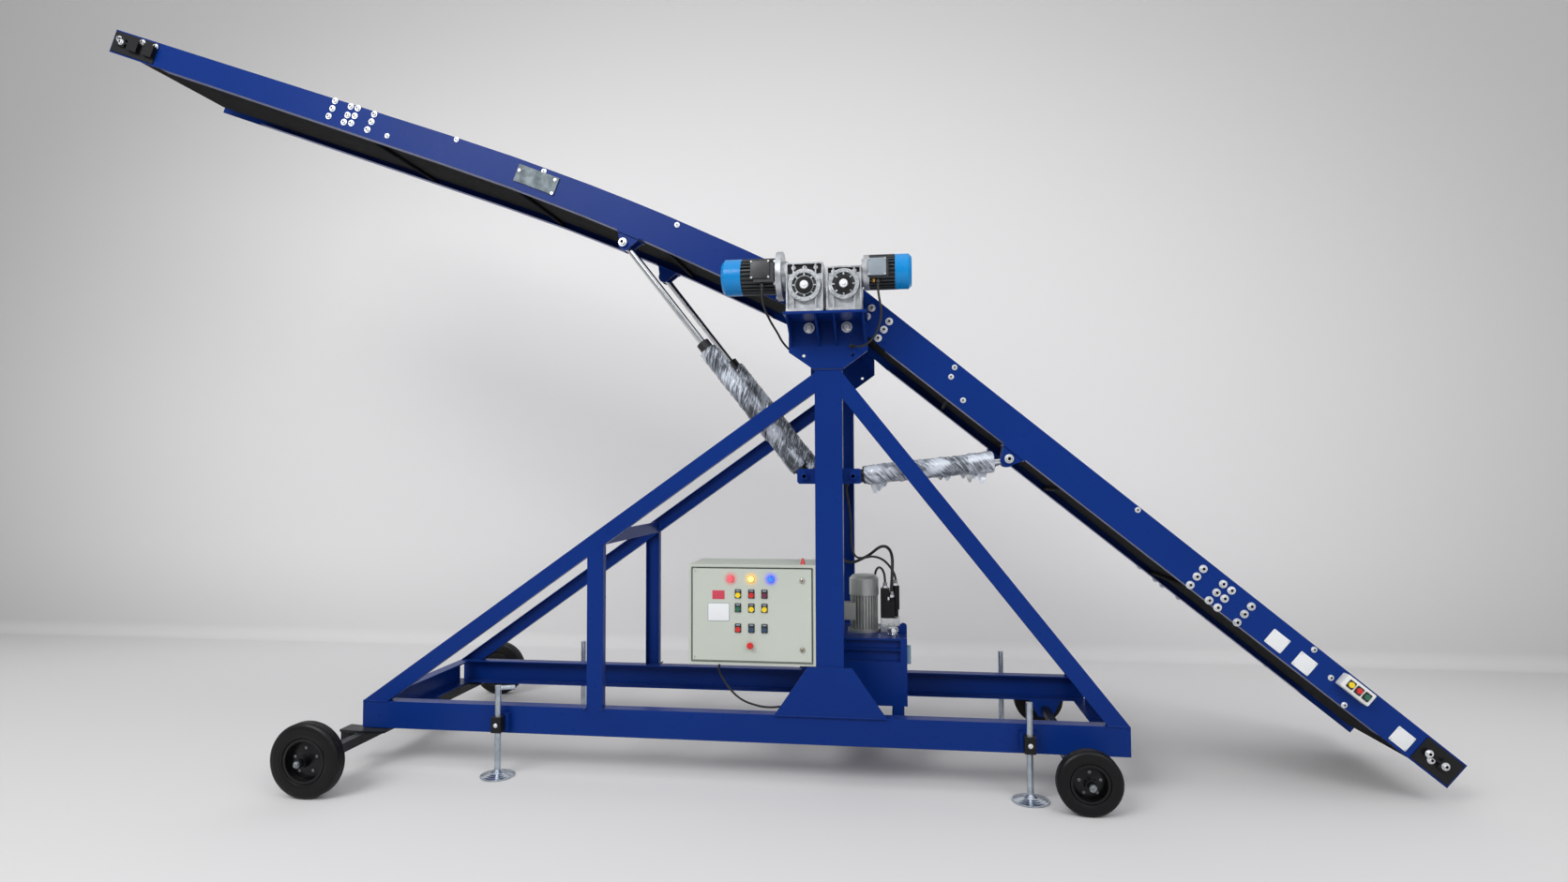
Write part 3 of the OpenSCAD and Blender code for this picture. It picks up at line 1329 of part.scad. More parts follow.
module cabinet_cable() color(rubber) in_frame() cord(cabinet_route, cable_d);
module left_motor_cable() color(rubber) in_frame() cord(left_motor_route, cable_d);
module right_motor_cable() color(rubber) in_frame() cord(right_motor_route, cable_d);
module pack_hose_a() color(rubber) in_frame() cord(pack_hose_a_route, hose_d);
module pack_hose_b() color(rubber) in_frame() cord(pack_hose_b_route, small_hose_d);
module pack_hose_c() color(rubber) in_frame() cord(pack_hose_c_route, small_hose_d);

// Glands and fittings at the ends of the cables and hoses, each drawn on to the piece that carries it
gland_r = 10;
cord_seat = 0.4;
clip = [30, 22];

function start_of(p) = p[0];
function end_of(p) = p[len(p) - 1];

module upright_gland(at, z) translate([at[0], at[1], min(at[2] + cord_seat, z)])
    cylinder(r = gland_r, h = abs(z - at[2]) - cord_seat);

module cable_glands() color(dark_steel) in_frame() {
    upright_gland(start_of(cabinet_route), cabinet_z);
    upright_gland(start_of(left_motor_route), upper_motor_z - terminal_h * terminal_drop_share);
    upright_gland(start_of(right_motor_route), lower_motor_z - terminal_h * terminal_drop_share);
    upright_gland(start_of(pack_hose_c_route), tank_top);
    for (p = [pack_hose_a_route, pack_hose_b_route]) upright_gland(end_of(p), anchor_z - anchor_tube / 2);
    let (e = end_of(cabinet_route)) bar_x(e[1], e[2], gland_r, e[0] + cord_seat, tank_x0);
    let (e = end_of(right_motor_route)) bar_y(e[0], e[2], gland_r, e[1] + cord_seat, -frame_half);
    let (e = end_of(left_motor_route)) translate([e[0] - clip[0] / 2, -post_web, e[2] - cord_seat - clip[1]])
        cube([clip[0], post_web + e[1] + gland_r, clip[1]]);
}

base_rails();
base_crossbeams();
mast_posts();
braces();
brace_uprights();
head_plates();
mast_ties();
bearing_blocks();
gearboxes();
motor_flanges();
motors();
motor_cowls();
drive_drums();
upper_sides();
upper_bed();
upper_belt();
upper_end_roller();
upper_takeups();
upper_cover();
lower_sides();
lower_bed();
lower_belt();
lower_end_roller();
lower_takeups();
foot_station();
upper_barrels();
upper_rods();
lower_barrels();
lower_rods();
steer_axle();
fixed_axle();
steer_tyre_near();
steer_tyre_far();
fixed_tyre_near();
fixed_tyre_far();
steer_rim_near();
steer_rim_far();
fixed_rim_near();
fixed_rim_far();
jack_brackets();
jack_sleeves();
jack_left_near();
jack_left_far();
jack_right_near();
jack_right_far();
cabinet_shell();
cabinet_door();
door_controls();
beacon();
tank();
pack_motor();
pack_manifold();
pack_valves();
cabinet_cable();
left_motor_cable();
right_motor_cable();
pack_hose_a();
pack_hose_b();
pack_hose_c();
cable_glands();
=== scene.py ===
# Mobile bag stacker: a wheeled channel frame whose braced mast carries two belt booms,
# lifted by hydraulic cylinders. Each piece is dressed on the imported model, in metres.
import math

import bmesh
import bpy
from mathutils import Matrix, Vector, noise


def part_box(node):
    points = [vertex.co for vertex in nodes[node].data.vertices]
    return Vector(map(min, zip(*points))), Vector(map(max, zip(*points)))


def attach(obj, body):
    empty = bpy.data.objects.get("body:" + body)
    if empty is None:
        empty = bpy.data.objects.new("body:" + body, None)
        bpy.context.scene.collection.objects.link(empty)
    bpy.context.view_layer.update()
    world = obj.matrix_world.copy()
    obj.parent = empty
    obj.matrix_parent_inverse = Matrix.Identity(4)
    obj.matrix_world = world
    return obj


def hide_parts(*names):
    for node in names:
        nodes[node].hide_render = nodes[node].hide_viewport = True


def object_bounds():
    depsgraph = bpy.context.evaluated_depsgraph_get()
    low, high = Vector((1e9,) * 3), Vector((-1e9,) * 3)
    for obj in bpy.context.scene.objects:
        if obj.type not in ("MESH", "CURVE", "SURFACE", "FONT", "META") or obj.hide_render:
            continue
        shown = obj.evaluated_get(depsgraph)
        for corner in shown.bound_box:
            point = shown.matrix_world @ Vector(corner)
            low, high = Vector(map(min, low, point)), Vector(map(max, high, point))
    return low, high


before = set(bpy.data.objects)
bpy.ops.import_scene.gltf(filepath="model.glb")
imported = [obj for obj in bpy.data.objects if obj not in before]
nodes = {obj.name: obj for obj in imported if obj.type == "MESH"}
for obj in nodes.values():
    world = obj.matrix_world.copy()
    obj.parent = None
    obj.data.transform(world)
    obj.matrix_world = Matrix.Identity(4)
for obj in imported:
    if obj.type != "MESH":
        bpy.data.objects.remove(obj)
cad_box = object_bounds()
scene = bpy.context.scene

# The view: a wide lens in front of the mast's foot, turned a little to the left and upwards.
# The mast's centre line gives the origin that the cable routes are measured from.
mast_low, mast_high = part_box("mast_posts")
mast_x = (mast_low.x + mast_high.x) / 2
eye = Vector((mast_x + 0.336, -4.4409, 1.42517))
yaw, pitch, roll = (math.radians(a) for a in (7.86321, 2.32341, -0.20904))
level = Vector((math.cos(yaw), math.sin(yaw), 0))
ahead = Vector((-math.sin(yaw) * math.cos(pitch), math.cos(yaw) * math.cos(pitch), math.sin(pitch)))
upright = level.cross(ahead)
across = level * math.cos(roll) + upright * math.sin(roll)
over = upright * math.cos(roll) - level * math.sin(roll)
lens = bpy.data.cameras.new("view")
lens.sensor_width = 36
lens.lens = 19.554
lens.clip_end = 200
camera = bpy.data.objects.new("view", lens)
scene.collection.objects.link(camera)
turned = Matrix((across, over, -ahead)).transposed().to_4x4()
camera.matrix_world = Matrix.Translation(eye) @ turned
scene.camera = camera
scene.view_settings.view_transform = "Standard"


# The studio: a pale grey sheet that runs from the floor up into a wall behind the machine.
# Its back lets the eye through, so that the machine can be looked at from behind.
def linear(red, green, blue):
    """A colour as a screen shows it, from 0 to 255, as the shader wants it."""
    shares = [c / 255 for c in (red, green, blue)]
    return tuple(s / 12.92 if s <= 0.04045 else ((s + 0.055) / 1.055) ** 2.4 for s in shares) + (1.0,)


wall_y, wall_top, cove, reach, front = 2.35, 9.0, 0.12, 16.0, -14.0
cove_steps = 12
profile = [(front, 0.0), (wall_y, 0.0)]
for step in range(1, cove_steps + 1):
    turn = math.pi / 2 * step / cove_steps
    profile.append((wall_y + cove * math.sin(turn), cove - cove * math.cos(turn)))
profile.append((wall_y + cove, wall_top))
sheet_mesh = bpy.data.meshes.new("studio_sheet")
corners = [(x, y, z) for x in (-reach, reach) for y, z in profile]
count = len(profile)
faces = [(i, count + i, count + i + 1, i + 1) for i in range(count - 1)]
back = len(corners)
corners += [(-reach, wall_y, 0.0), (reach, wall_y, 0.0), (reach, reach, 0.0), (-reach, reach, 0.0)]
faces.append((back, back + 1, back + 2, back + 3))
sheet_mesh.from_pydata(corners, [], faces)
sheet_mesh.shade_smooth()


def show(name, data):
    """A new object of the scene, at the origin."""
    made = bpy.data.objects.new(name, data)
    scene.collection.objects.link(made)
    return made


show("studio_sheet", sheet_mesh)


def feed(tree, node, takes):
    """Gives a node's inputs what they take, each a socket to link or a plain value."""
    for key, value in takes.items():
        if isinstance(value, bpy.types.NodeSocket):
            tree.links.new(value, node.inputs[key])
        else:
            node.inputs[key].default_value = value
    return node


def add(tree, kind, takes=(), **traits):
    """A new node with its traits set and its inputs fed."""
    node = tree.nodes.new(kind)
    for trait, value in traits.items():
        setattr(node, trait, value)
    return feed(tree, node, dict(takes))


def ramp(tree, source, low, high, ease="LINEAR", least=0.0):
    """Spreads a narrow band of a value over zero, or a least value, to one."""
    takes = {"Value": source, "From Min": low, "From Max": high, "To Min": least}
    return add(tree, "ShaderNodeMapRange", takes, interpolation_type=ease).outputs["Result"]


def figure(tree, operation, *values):
    """Arithmetic on values that are sockets or plain numbers."""
    return add(tree, "ShaderNodeMath", dict(enumerate(values)), operation=operation).outputs[0]


def tinted(tree, share, one, other):
    """Mixes two colours by a mask; each is a socket or a plain colour."""
    return add(tree, "ShaderNodeMix", {0: share, 6: one, 7: other}, data_type="RGBA").outputs[2]


paper = bpy.data.materials.new("studio_paper")
paper.use_nodes = True
tree = paper.node_tree
tree.nodes.clear()
# The wall's colour holds painted light: a painted pool of light brightens its middle, and painted shade
# darkens it towards the floor. The floor by the wall takes the same tone.
pool_wide, pool_tall, pool_x, pool_z = 9.0, 5.4, -0.9, 1.55
floor_ends, floor_starts = wall_y + 0.05, 0.4
spot = add(tree, "ShaderNodeTexCoord").outputs["Object"]
parts = add(tree, "ShaderNodeSeparateXYZ", {0: spot}).outputs
centred = add(tree, "ShaderNodeMapping", {
    "Vector": spot, "Scale": (1 / pool_wide, 0.0, 1 / pool_tall),
    "Location": (-pool_x / pool_wide, 0.0, -pool_z / pool_tall)})
painted_pool = add(tree, "ShaderNodeTexGradient", {"Vector": centred.outputs[0]}, gradient_type="SPHERICAL")
painted_pool_light = ramp(tree, painted_pool.outputs["Fac"], 0.05, 0.68, "SMOOTHSTEP")
painted_low_shade = ramp(tree, parts["Z"], -0.2, 0.9, "SMOOTHSTEP", least=0.6)
wall_tone = tinted(tree, figure(tree, "MULTIPLY", painted_pool_light, painted_low_shade), linear(192, 191, 191), linear(234, 233, 233))
nearer = ramp(tree, parts["Y"], floor_ends, floor_starts, "SMOOTHSTEP")
floor_tone = tinted(tree, nearer, wall_tone, linear(211, 210, 210))
matt = add(tree, "ShaderNodeBsdfDiffuse", {"Color": floor_tone})
clear = add(tree, "ShaderNodeBsdfTransparent")
behind = add(tree, "ShaderNodeNewGeometry").outputs["Backfacing"]
choose = add(tree, "ShaderNodeMixShader", {0: behind, 1: matt.outputs[0], 2: clear.outputs[0]})
add(tree, "ShaderNodeOutputMaterial", {0: choose.outputs[0]})
sheet_mesh.materials.append(paper)

sky = bpy.data.worlds.new("studio_air")
sky.use_nodes = True
scene.world = sky
tree = sky.node_tree
toward = add(tree, "ShaderNodeTexCoord").outputs["Generated"]
rise = add(tree, "ShaderNodeSeparateXYZ", {0: toward}).outputs["Z"]
dome = tinted(tree, rise, (0.3, 0.305, 0.31, 1), (0.86, 0.87, 0.89, 1))
tree.links.new(dome, tree.nodes["Background"].inputs["Color"])


def softbox(name, at, aim, size, power):
    """A large square lamp that faces a point."""
    lamp = bpy.data.lights.new(name, "AREA")
    lamp.shape = "RECTANGLE"
    lamp.size, lamp.size_y = size
    lamp.energy = power
    facing = (Vector(aim) - Vector(at)).to_track_quat("-Z", "Y")
    show(name, lamp).matrix_world = Matrix.Translation(at) @ facing.to_matrix().to_4x4()


softbox("key_left", (-3.2, -6.5, 6.2), (0.0, 0, 1.5), (4.5, 3.5), 360)
softbox("key_right", (5.2, -6.2, 5.0), (0.8, 0, 1.2), (4.0, 3.5), 190)
softbox("top", (0.2, -2.4, 7.4), (0.2, -0.8, 0), (8.0, 4.5), 40)


# The rails, beams, posts and braces: rolled and folded steel channel, welded together and
# sprayed with a royal blue gloss enamel that has a fine orange peel and a little yard dust.
def speckle(tree, where, scale, detail):
    """Noise on the piece's own coordinates."""
    return add(tree, "ShaderNodeTexNoise", {"Vector": where, "Scale": scale, "Detail": detail}).outputs["Fac"]


wear = bpy.data.node_groups.new("worn_coat", "ShaderNodeTree")
for label, kind, value in (
        ("Colour", "Color", (0.1, 0.1, 0.1, 1)), ("Shade", "Color", (0.05, 0.05, 0.05, 1)),
        ("Cloud Scale", "Float", 1.5), ("Dust", "Float", 0.2), ("Grain Scale", "Float", 400.0),
        ("Roughness", "Float", 0.3), ("Swing", "Float", 0.1)):
    wear.interface.new_socket(label, in_out="INPUT", socket_type="NodeSocket" + kind).default_value = value
for label, kind in (("Colour", "Color"), ("Roughness", "Float"), ("Height", "Float")):
    wear.interface.new_socket(label, in_out="OUTPUT", socket_type="NodeSocket" + kind)
taken = wear.nodes.new("NodeGroupInput").outputs
given = wear.nodes.new("NodeGroupOutput").inputs
dust_grey, dust_dulls = linear(150, 148, 142), 0.35
place = add(wear, "ShaderNodeTexCoord").outputs["Object"]
mottle = ramp(wear, speckle(wear, place, taken["Cloud Scale"], 4.0), 0.36, 0.66)
base_tone = tinted(wear, mottle, taken["Colour"], taken["Shade"])
normal = add(wear, "ShaderNodeNewGeometry").outputs["Normal"]
upward = ramp(wear, add(wear, "ShaderNodeSeparateXYZ", {0: normal}).outputs["Z"], 0.45, 1.0)
patchy = ramp(wear, speckle(wear, place, 7.0, 6.0), 0.38, 0.68)
settled = figure(wear, "MULTIPLY", figure(wear, "MULTIPLY", upward, patchy), taken["Dust"])
rubbed = ramp(wear, speckle(wear, place, 22.0, 5.0), 0.3, 0.7)
dulled = figure(wear, "ADD", figure(wear, "MULTIPLY", rubbed, taken["Swing"]), taken["Roughness"])
matted = figure(wear, "ADD", dulled, figure(wear, "MULTIPLY", settled, dust_dulls))
for label, value in (("Colour", tinted(wear, settled, base_tone, dust_grey)), ("Roughness", matted),
                     ("Height", speckle(wear, place, taken["Grain Scale"], 2.0))):
    wear.links.new(value, given[label])


def shaded(name):
    """A new material, with its node tree and its shader."""
    made = bpy.data.materials.new(name)
    made.use_nodes = True
    return made, made.node_tree, made.node_tree.nodes["Principled BSDF"]


def finish_of(name, colour, shade, rough, metallic=0.0, coat=0.0, cloud=1.5, dust=0.15, grain=400.0,
              swing=0.1, relief=0.06, specular=0.5, edge=0.0):
    """A coated or cast surface with cloudy tone, settled dust, rubbed gloss and fine relief."""
    made, tree, shader = shaded(name)
    worn = add(tree, "ShaderNodeGroup", {
        "Colour": linear(*colour), "Shade": linear(*shade), "Cloud Scale": cloud, "Dust": dust,
        "Grain Scale": grain, "Roughness": rough, "Swing": swing}, node_tree=wear).outputs
    bump = add(tree, "ShaderNodeBump", {"Strength": relief, "Distance": 0.002, "Height": worn["Height"]})
    if edge:
        rounding = add(tree, "ShaderNodeBevel", {"Radius": edge}, samples=4)
        tree.links.new(rounding.outputs[0], bump.inputs["Normal"])
    feed(tree, shader, {
        "Base Color": worn["Colour"], "Roughness": worn["Roughness"], "Normal": bump.outputs["Normal"],
        "Metallic": metallic, "Coat Weight": coat, "Coat Roughness": 0.08, "Specular IOR Level": specular})
    return made


def dress(material, *names):
    """Gives CAD nodes their finish."""
    for name in names:
        nodes[name].material_slots[0].material = material


blue_enamel = finish_of("blue_enamel", (12, 46, 119), (11, 43, 113), 0.27, dust=0.05, swing=0.05,
                        specular=0.1, edge=0.003)
dress(blue_enamel, "base_rails", "base_crossbeams", "mast_posts", "braces", "brace_uprights", "head_plates",
      "mast_ties", "upper_sides", "lower_sides", "jack_brackets", "tank")


# Weld beads: a ripple of weld along each joint where the posts, gussets and braces meet the rails.
# Each bead is swept along its joint and swells with every ripple, under the same enamel; a darker bead at
# each post head is painted shade.
def tree_of(name, *sizes):
    """An empty geometry tree for sizes and a material, with what its ends put out and take."""
    made = bpy.data.node_groups.new(name, "GeometryNodeTree")
    floats = [(size, "Float") for size in sizes]
    for label, kind in (("Geometry", "Geometry"), *floats, ("Material", "Material")):
        made.interface.new_socket(label, in_out="INPUT", socket_type="NodeSocket" + kind)
    made.interface.new_socket("Geometry", in_out="OUTPUT", socket_type="NodeSocketGeometry")
    return made, made.nodes.new("NodeGroupInput").outputs, made.nodes.new("NodeGroupOutput").inputs


def close(tree, shape, taken, given):
    """Ends a geometry tree: what was copied is made real and takes the material."""
    real = add(tree, "GeometryNodeRealizeInstances", {0: shape}).outputs[0]
    painted = add(tree, "GeometryNodeSetMaterial", {"Geometry": real, "Material": taken["Material"]})
    tree.links.new(painted.outputs[0], given[0])


def grow(name, mesh, tree, settings):
    """Runs a geometry tree on a mesh and keeps the result as a plain mesh object."""
    seed = show(name, mesh)
    maker = seed.modifiers.new("maker", "NODES")
    maker.node_group = tree
    keys = {item.name: item.identifier for item in tree.interface.items_tree
            if item.in_out == "INPUT" and item.socket_type != "NodeSocketGeometry"}
    for label, value in settings.items():
        maker[keys[label]] = value
    shown = seed.evaluated_get(bpy.context.evaluated_depsgraph_get())
    made = bpy.data.meshes.new_from_object(shown)
    seed.modifiers.clear()
    seed.data = made
    return seed


def settle(piece, body, slot, *stands_for):
    """A finished piece rides on its body, and the CAD nodes that it stands for are hidden; the slot is not
    used.
    """
    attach(piece, body)
    if stands_for:
        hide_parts(*stands_for)
    return piece


bead, taken, given = tree_of("weld_bead", "Bead Radius", "Ripple")
bead_step, ripple_pace = 0.007, 430.0
as_curve = add(bead, "GeometryNodeMeshToCurve", {0: taken["Geometry"]}).outputs[0]
even = add(bead, "GeometryNodeResampleCurve", {"Curve": as_curve, "Length": bead_step}, mode="LENGTH")
along = add(bead, "GeometryNodeSplineParameter").outputs["Length"]
wave = figure(bead, "SINE", figure(bead, "MULTIPLY", along, ripple_pace))
swell = figure(bead, "MULTIPLY_ADD", wave, taken["Ripple"], 1.0)
fat = add(bead, "GeometryNodeSetCurveRadius", {"Curve": even.outputs[0], "Radius": swell})
ring = add(bead, "GeometryNodeCurvePrimitiveCircle", {"Resolution": 8, "Radius": taken["Bead Radius"]})
sweep = add(bead, "GeometryNodeCurveToMesh", {
    "Curve": fat.outputs[0], "Profile Curve": ring.outputs[0], "Fill Caps": True})
close(bead, sweep.outputs[0], taken, given)

rail_low, rail_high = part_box("base_rails")
rail_top = rail_high.z
brace_low, brace_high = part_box("braces")
gusset_half, post_half = (mast_high.x - mast_low.x) / 2, 0.064
post_head = mast_high.z
inset, heel, toe, upright_back = 0.002, 0.13, 0.1, 0.04
upright_edges = (-0.541, -0.461)
joints = []
for face in (-1, 1):
    plate, brace = face * mast_high.y, face * brace_high.y
    joints.append([(mast_x - gusset_half, plate, rail_top), (mast_x + gusset_half, plate, rail_top)])
    joints.append([(mast_x - post_half, brace, post_head), (mast_x + post_half, brace, post_head)])
    joints.append([(rail_low.x + inset, brace, rail_top), (rail_low.x + heel, brace, rail_top)])
    joints.append([(rail_high.x - toe, brace, rail_top), (rail_high.x - inset, brace, rail_top)])
    for x in upright_edges:
        joints.append([(x, brace, rail_top), (x, face * (upright_back - brace_low.y), rail_top)])
runs = bpy.data.meshes.new("weld_runs")
runs.from_pydata([p for pair in joints for p in pair], [(2 * i, 2 * i + 1) for i in range(len(joints))], [])
welds = grow("frame_welds", runs, bead, {"Bead Radius": 0.0042, "Ripple": 0.22, "Material": blue_enamel})
settle(welds, "frame", "blue_paint")
# A near black bead along the top of each post, at the head plate's lower edge, is painted shade: it stands in
# for the shadow in the gap there.
painted_gap_shade = finish_of("painted_gap_shade", (9, 15, 36), (6, 10, 24), 0.4, dust=0.0)
shade_out, shade_up = 0.0005, 0.004
shade_runs = bpy.data.meshes.new("gap_shade_runs")
shade_ends = [(mast_x + shift * post_half, face * (brace_high.y + shade_out), post_head + shade_up)
             for face in (-1, 1) for shift in (-1, 1)]
shade_runs.from_pydata(shade_ends, [(0, 1), (2, 3)], [])
shade_settings = {"Bead Radius": 0.003, "Ripple": 0.1, "Material": painted_gap_shade}
settle(grow("post_head_gap_shade", shade_runs, bead, shade_settings), "frame", "blue_paint")


# Hex bolts: zinc plated bolts on plain washers, turned up tight on whatever plate they clamp.
# Each one is seated on the surface that it meets, whatever way it was left turned.
zinc_plate = finish_of("zinc_plate", (238, 240, 242), (214, 217, 220), 0.34, metallic=1.0, cloud=9.0,
                       dust=0.05, grain=260.0, swing=0.2)
bolt_sizes = ("Head Radius", "Head Height", "Washer Radius", "Washer Height", "Stud Height")
bolt, taken, given = tree_of("hex_bolts", *bolt_sizes)
head_r, head_h, washer_r, washer_h, stud_h = (taken[label] for label in bolt_sizes)


def share_of(value, share):
    """A share of one of the bolt's sizes."""
    return figure(bolt, "MULTIPLY", value, share)


def above(one, other):
    """The sum of two heights on the bolt."""
    return figure(bolt, "ADD", one, other)


def stacked(kind, sides, sizes, height):
    """A round or six sided piece of the bolt, lifted to a height above the seat."""
    shape = add(bolt, "GeometryNodeMesh" + kind, {"Vertices": sides, **sizes})
    rise = add(bolt, "ShaderNodeCombineXYZ", {"Z": height})
    moves = {"Geometry": shape.outputs[0], "Translation": rise.outputs[0]}
    return add(bolt, "GeometryNodeTransform", moves).outputs[0]


body_h = share_of(head_h, 0.78)
flat = stacked("Cylinder", 20, {"Radius": washer_r, "Depth": washer_h}, share_of(washer_h, 0.5))
hex_body = stacked("Cylinder", 6, {"Radius": head_r, "Depth": body_h}, above(washer_h, share_of(body_h, 0.5)))
crown = {"Radius Bottom": head_r, "Radius Top": share_of(head_r, 0.84), "Depth": share_of(head_h, 0.22)}
hex_top = stacked("Cone", 6, crown, above(washer_h, body_h))
tip = stacked("Cylinder", 12, {"Radius": share_of(head_r, 0.52), "Depth": stud_h},
              above(washer_h, above(head_h, share_of(stud_h, 0.4))))
whole = add(bolt, "GeometryNodeJoinGeometry")
for shape in (flat, hex_body, hex_top, tip):
    bolt.links.new(shape, whole.inputs[0])
out_of = add(bolt, "GeometryNodeInputNamedAttribute", {"Name": "axis"}, data_type="FLOAT_VECTOR")
stand = add(bolt, "FunctionNodeAlignRotationToVector", {"Vector": out_of.outputs["Attribute"]}, axis="Z")
sixth_turn = 1.04
chance = add(bolt, "FunctionNodeRandomValue", {3: sixth_turn, "Seed": 7}, data_type="FLOAT")
twist = add(bolt, "FunctionNodeAxisAngleToRotation", {"Axis": (0, 0, 1), "Angle": chance.outputs[1]})
left_as = add(bolt, "FunctionNodeRotateRotation", {
    "Rotation": stand.outputs[0], "Rotate By": twist.outputs[0]}, rotation_space="LOCAL")
to_points = add(bolt, "GeometryNodeMeshToPoints", {0: taken["Geometry"]})
copies = add(bolt, "GeometryNodeInstanceOnPoints", {
    "Points": to_points.outputs[0], "Instance": whole.outputs[0], "Rotation": left_as.outputs[0]})
close(bolt, copies.outputs[0], taken, given)


def bolted(name, body, seats, head, washer, stud=0.0, height=None, material=None, slot="zinc"):
    """Bolts at seats, each a point on a surface and the direction that the head faces."""
    mesh = bpy.data.meshes.new(name)
    mesh.from_pydata([tuple(p) for p, _ in seats], [], [])
    axis = mesh.attributes.new("axis", "FLOAT_VECTOR", "POINT")
    for index, (_, out) in enumerate(seats):
        axis.data[index].vector = out
    made = grow(name, mesh, bolt, {
        "Head Radius": head, "Head Height": height or head * 0.72, "Washer Radius": washer,
        "Washer Height": 0.003, "Stud Height": stud, "Material": material or zinc_plate})
    return settle(made, body, slot)


def landed(node, start, toward):
    """Where a straight line from a point first meets a CAD node, or None."""
    hit, point, _, _ = nodes[node].ray_cast(Vector(start), Vector(toward))
    return point if hit else None


def seats_on(node, starts, toward):
    """Seats where rays from the starts meet a node."""
    points = [landed(node, start, toward) for start in starts]
    return [(point, tuple(-c for c in toward)) for point in points if point is not None]


outside, both, near = 1.4, (-1, 1), (-1,)


def on_side(node, places, sides=both):
    """Seats on the outer faces of a node's side plates, at places given along X and Z."""
    return [seat for face in sides
            for seat in seats_on(node, [(x, face * outside, z) for x, z in places], (0, -face, 0))]


def round_about(count, radius, first):
    """Steps from a centre to places on a circle, from a first angle on."""
    turns = [math.tau * k / count + first for k in range(count)]
    return [(radius * math.cos(turn), radius * math.sin(turn)) for turn in turns]


shaft_x, shaft_z = (mast_x - 0.088, mast_x + 0.088), 2.275
head_bolts = [(x, 2.115) for x in shaft_x]
bolted("head_tie_bolts", "frame", on_side("head_plates", head_bolts), 0.019, 0.026, stud=0.008)


# Axle hangers: zinc plated bolts through the hangers under the rails, a pair on each side,
# that hold the axle there.
hanger_places = [(1.668, 0.172), (1.792, 0.172)]
bolted("hanger_bolts", "frame", on_side("base_crossbeams", hanger_places), 0.008, 0.012)


# Mast head: cast pillow blocks, painted black, that carry the two drum shafts,
# each held down by a pair of bolts.
black_satin = finish_of("black_satin", (13, 14, 16), (9, 10, 11), 0.4, dust=0.06, relief=0.1,
                        specular=0.3, edge=0.002)
dress(black_satin, "bearing_blocks")
block_y, block_shift = 0.459, 0.052
starts = [(x + shift, face * block_y, 2.6) for x in shaft_x for face in both
          for shift in (-block_shift, block_shift)]
bolted("bearing_bolts", "frame", seats_on("bearing_blocks", starts, (0, 0, -1)), 0.010, 0.015, stud=0.006)


# Gearboxes: bare die cast worm drives bolted to the shelf, with a round output cover,
# a ring of cap screws, a black oil seal and the drum's shaft end in the middle.
cast_alloy = finish_of("cast_alloy", (200, 203, 207), (164, 168, 172), 0.27, metallic=0.9, cloud=30.0,
                       dust=0.04, grain=520.0, swing=0.16, relief=0.14, edge=0.002)
dress(cast_alloy, "gearboxes", "motor_flanges")
drum_zinc = finish_of("drum_steel", (176, 179, 182), (132, 136, 140), 0.32, metallic=1.0, cloud=6.0)
dress(drum_zinc, "drive_drums", "upper_end_roller", "lower_end_roller")


def framed(origin, out=(0, -1, 0), aside=None):
    """A frame at a point whose Z looks along out, to the near side if nothing else is said."""
    z = Vector(out).normalized()
    x = Vector(aside) if aside else (Vector((1, 0, 0)) if abs(z.x) < 0.9 else Vector((0, 0, 1)))
    x = (x - z * x.dot(z)).normalized()
    turn = Matrix((x, z.cross(x), z)).transposed().to_4x4()
    return Matrix.Translation(origin) @ turn


def turned_part(bm, profile, where, steps=40):
    """Turns a profile of radius and height round the frame's Z; a zero radius closes it."""
    rings = []
    for radius, height in profile:
        if radius < 1e-6:
            rings.append([bm.verts.new(where @ Vector((0, 0, height)))])
            continue
        rings.append([bm.verts.new(where @ Vector((
            radius * math.cos(math.tau * k / steps), radius * math.sin(math.tau * k / steps), height)))
            for k in range(steps)])
    for low, high in zip(rings, rings[1:]):
        corners = ((low, 0), (low, 1), (high, 1), (high, 0))
        for k in range(steps):
            quad = [ring[(k + step) % len(ring)] for ring, step in corners]
            bm.faces.new(list(dict.fromkeys(quad)))


def slab(bm, outline, where, low, high, edge=0.0):
    """A plate with an outline in the frame's XY, from low to high along its Z, with softened edges."""
    made = []
    for level in (low, high):
        made.append([bm.verts.new(where @ Vector((x, y, level))) for x, y in outline])
    faces = [bm.faces.new(made[0][::-1]), bm.faces.new(made[1])]
    for k in range(len(outline)):
        nxt = (k + 1) % len(outline)
        faces.append(bm.faces.new([made[0][k], made[0][nxt], made[1][nxt], made[1][k]]))
    if edge:
        edges = list({e for f in faces for e in f.edges})
        bmesh.ops.bevel(bm, geom=edges, offset=edge, segments=2, affect="EDGES", profile=0.6)


def rectangle(width, height, radius=0.0, steps=4):
    """The outline of a rectangle, with round corners where a radius is given."""
    if not radius:
        return [(sx * width / 2, sy * height / 2) for sx, sy in ((-1, -1), (1, -1), (1, 1), (-1, 1))]
    outline = []
    for quarter, (sx, sy) in enumerate(((1, 1), (-1, 1), (-1, -1), (1, -1))):
        for k in range(steps + 1):
            turn = math.pi / 2 * (quarter + k / steps)
            outline.append((sx * (width / 2 - radius) + radius * math.cos(turn),
                            sy * (height / 2 - radius) + radius * math.sin(turn)))
    return outline


def made_of(name, bm, material, body, slot, *stands_for, sharp=35):
    """Closes a built shape into a piece with one material."""
    bmesh.ops.recalc_face_normals(bm, faces=bm.faces)
    mesh = bpy.data.meshes.new(name)
    bm.to_mesh(mesh)
    bm.free()
    mesh.materials.append(material)
    mesh.shade_smooth()
    mesh.set_sharp_from_angle(angle=math.radians(sharp))
    return settle(show(name, mesh), body, slot, *stands_for)


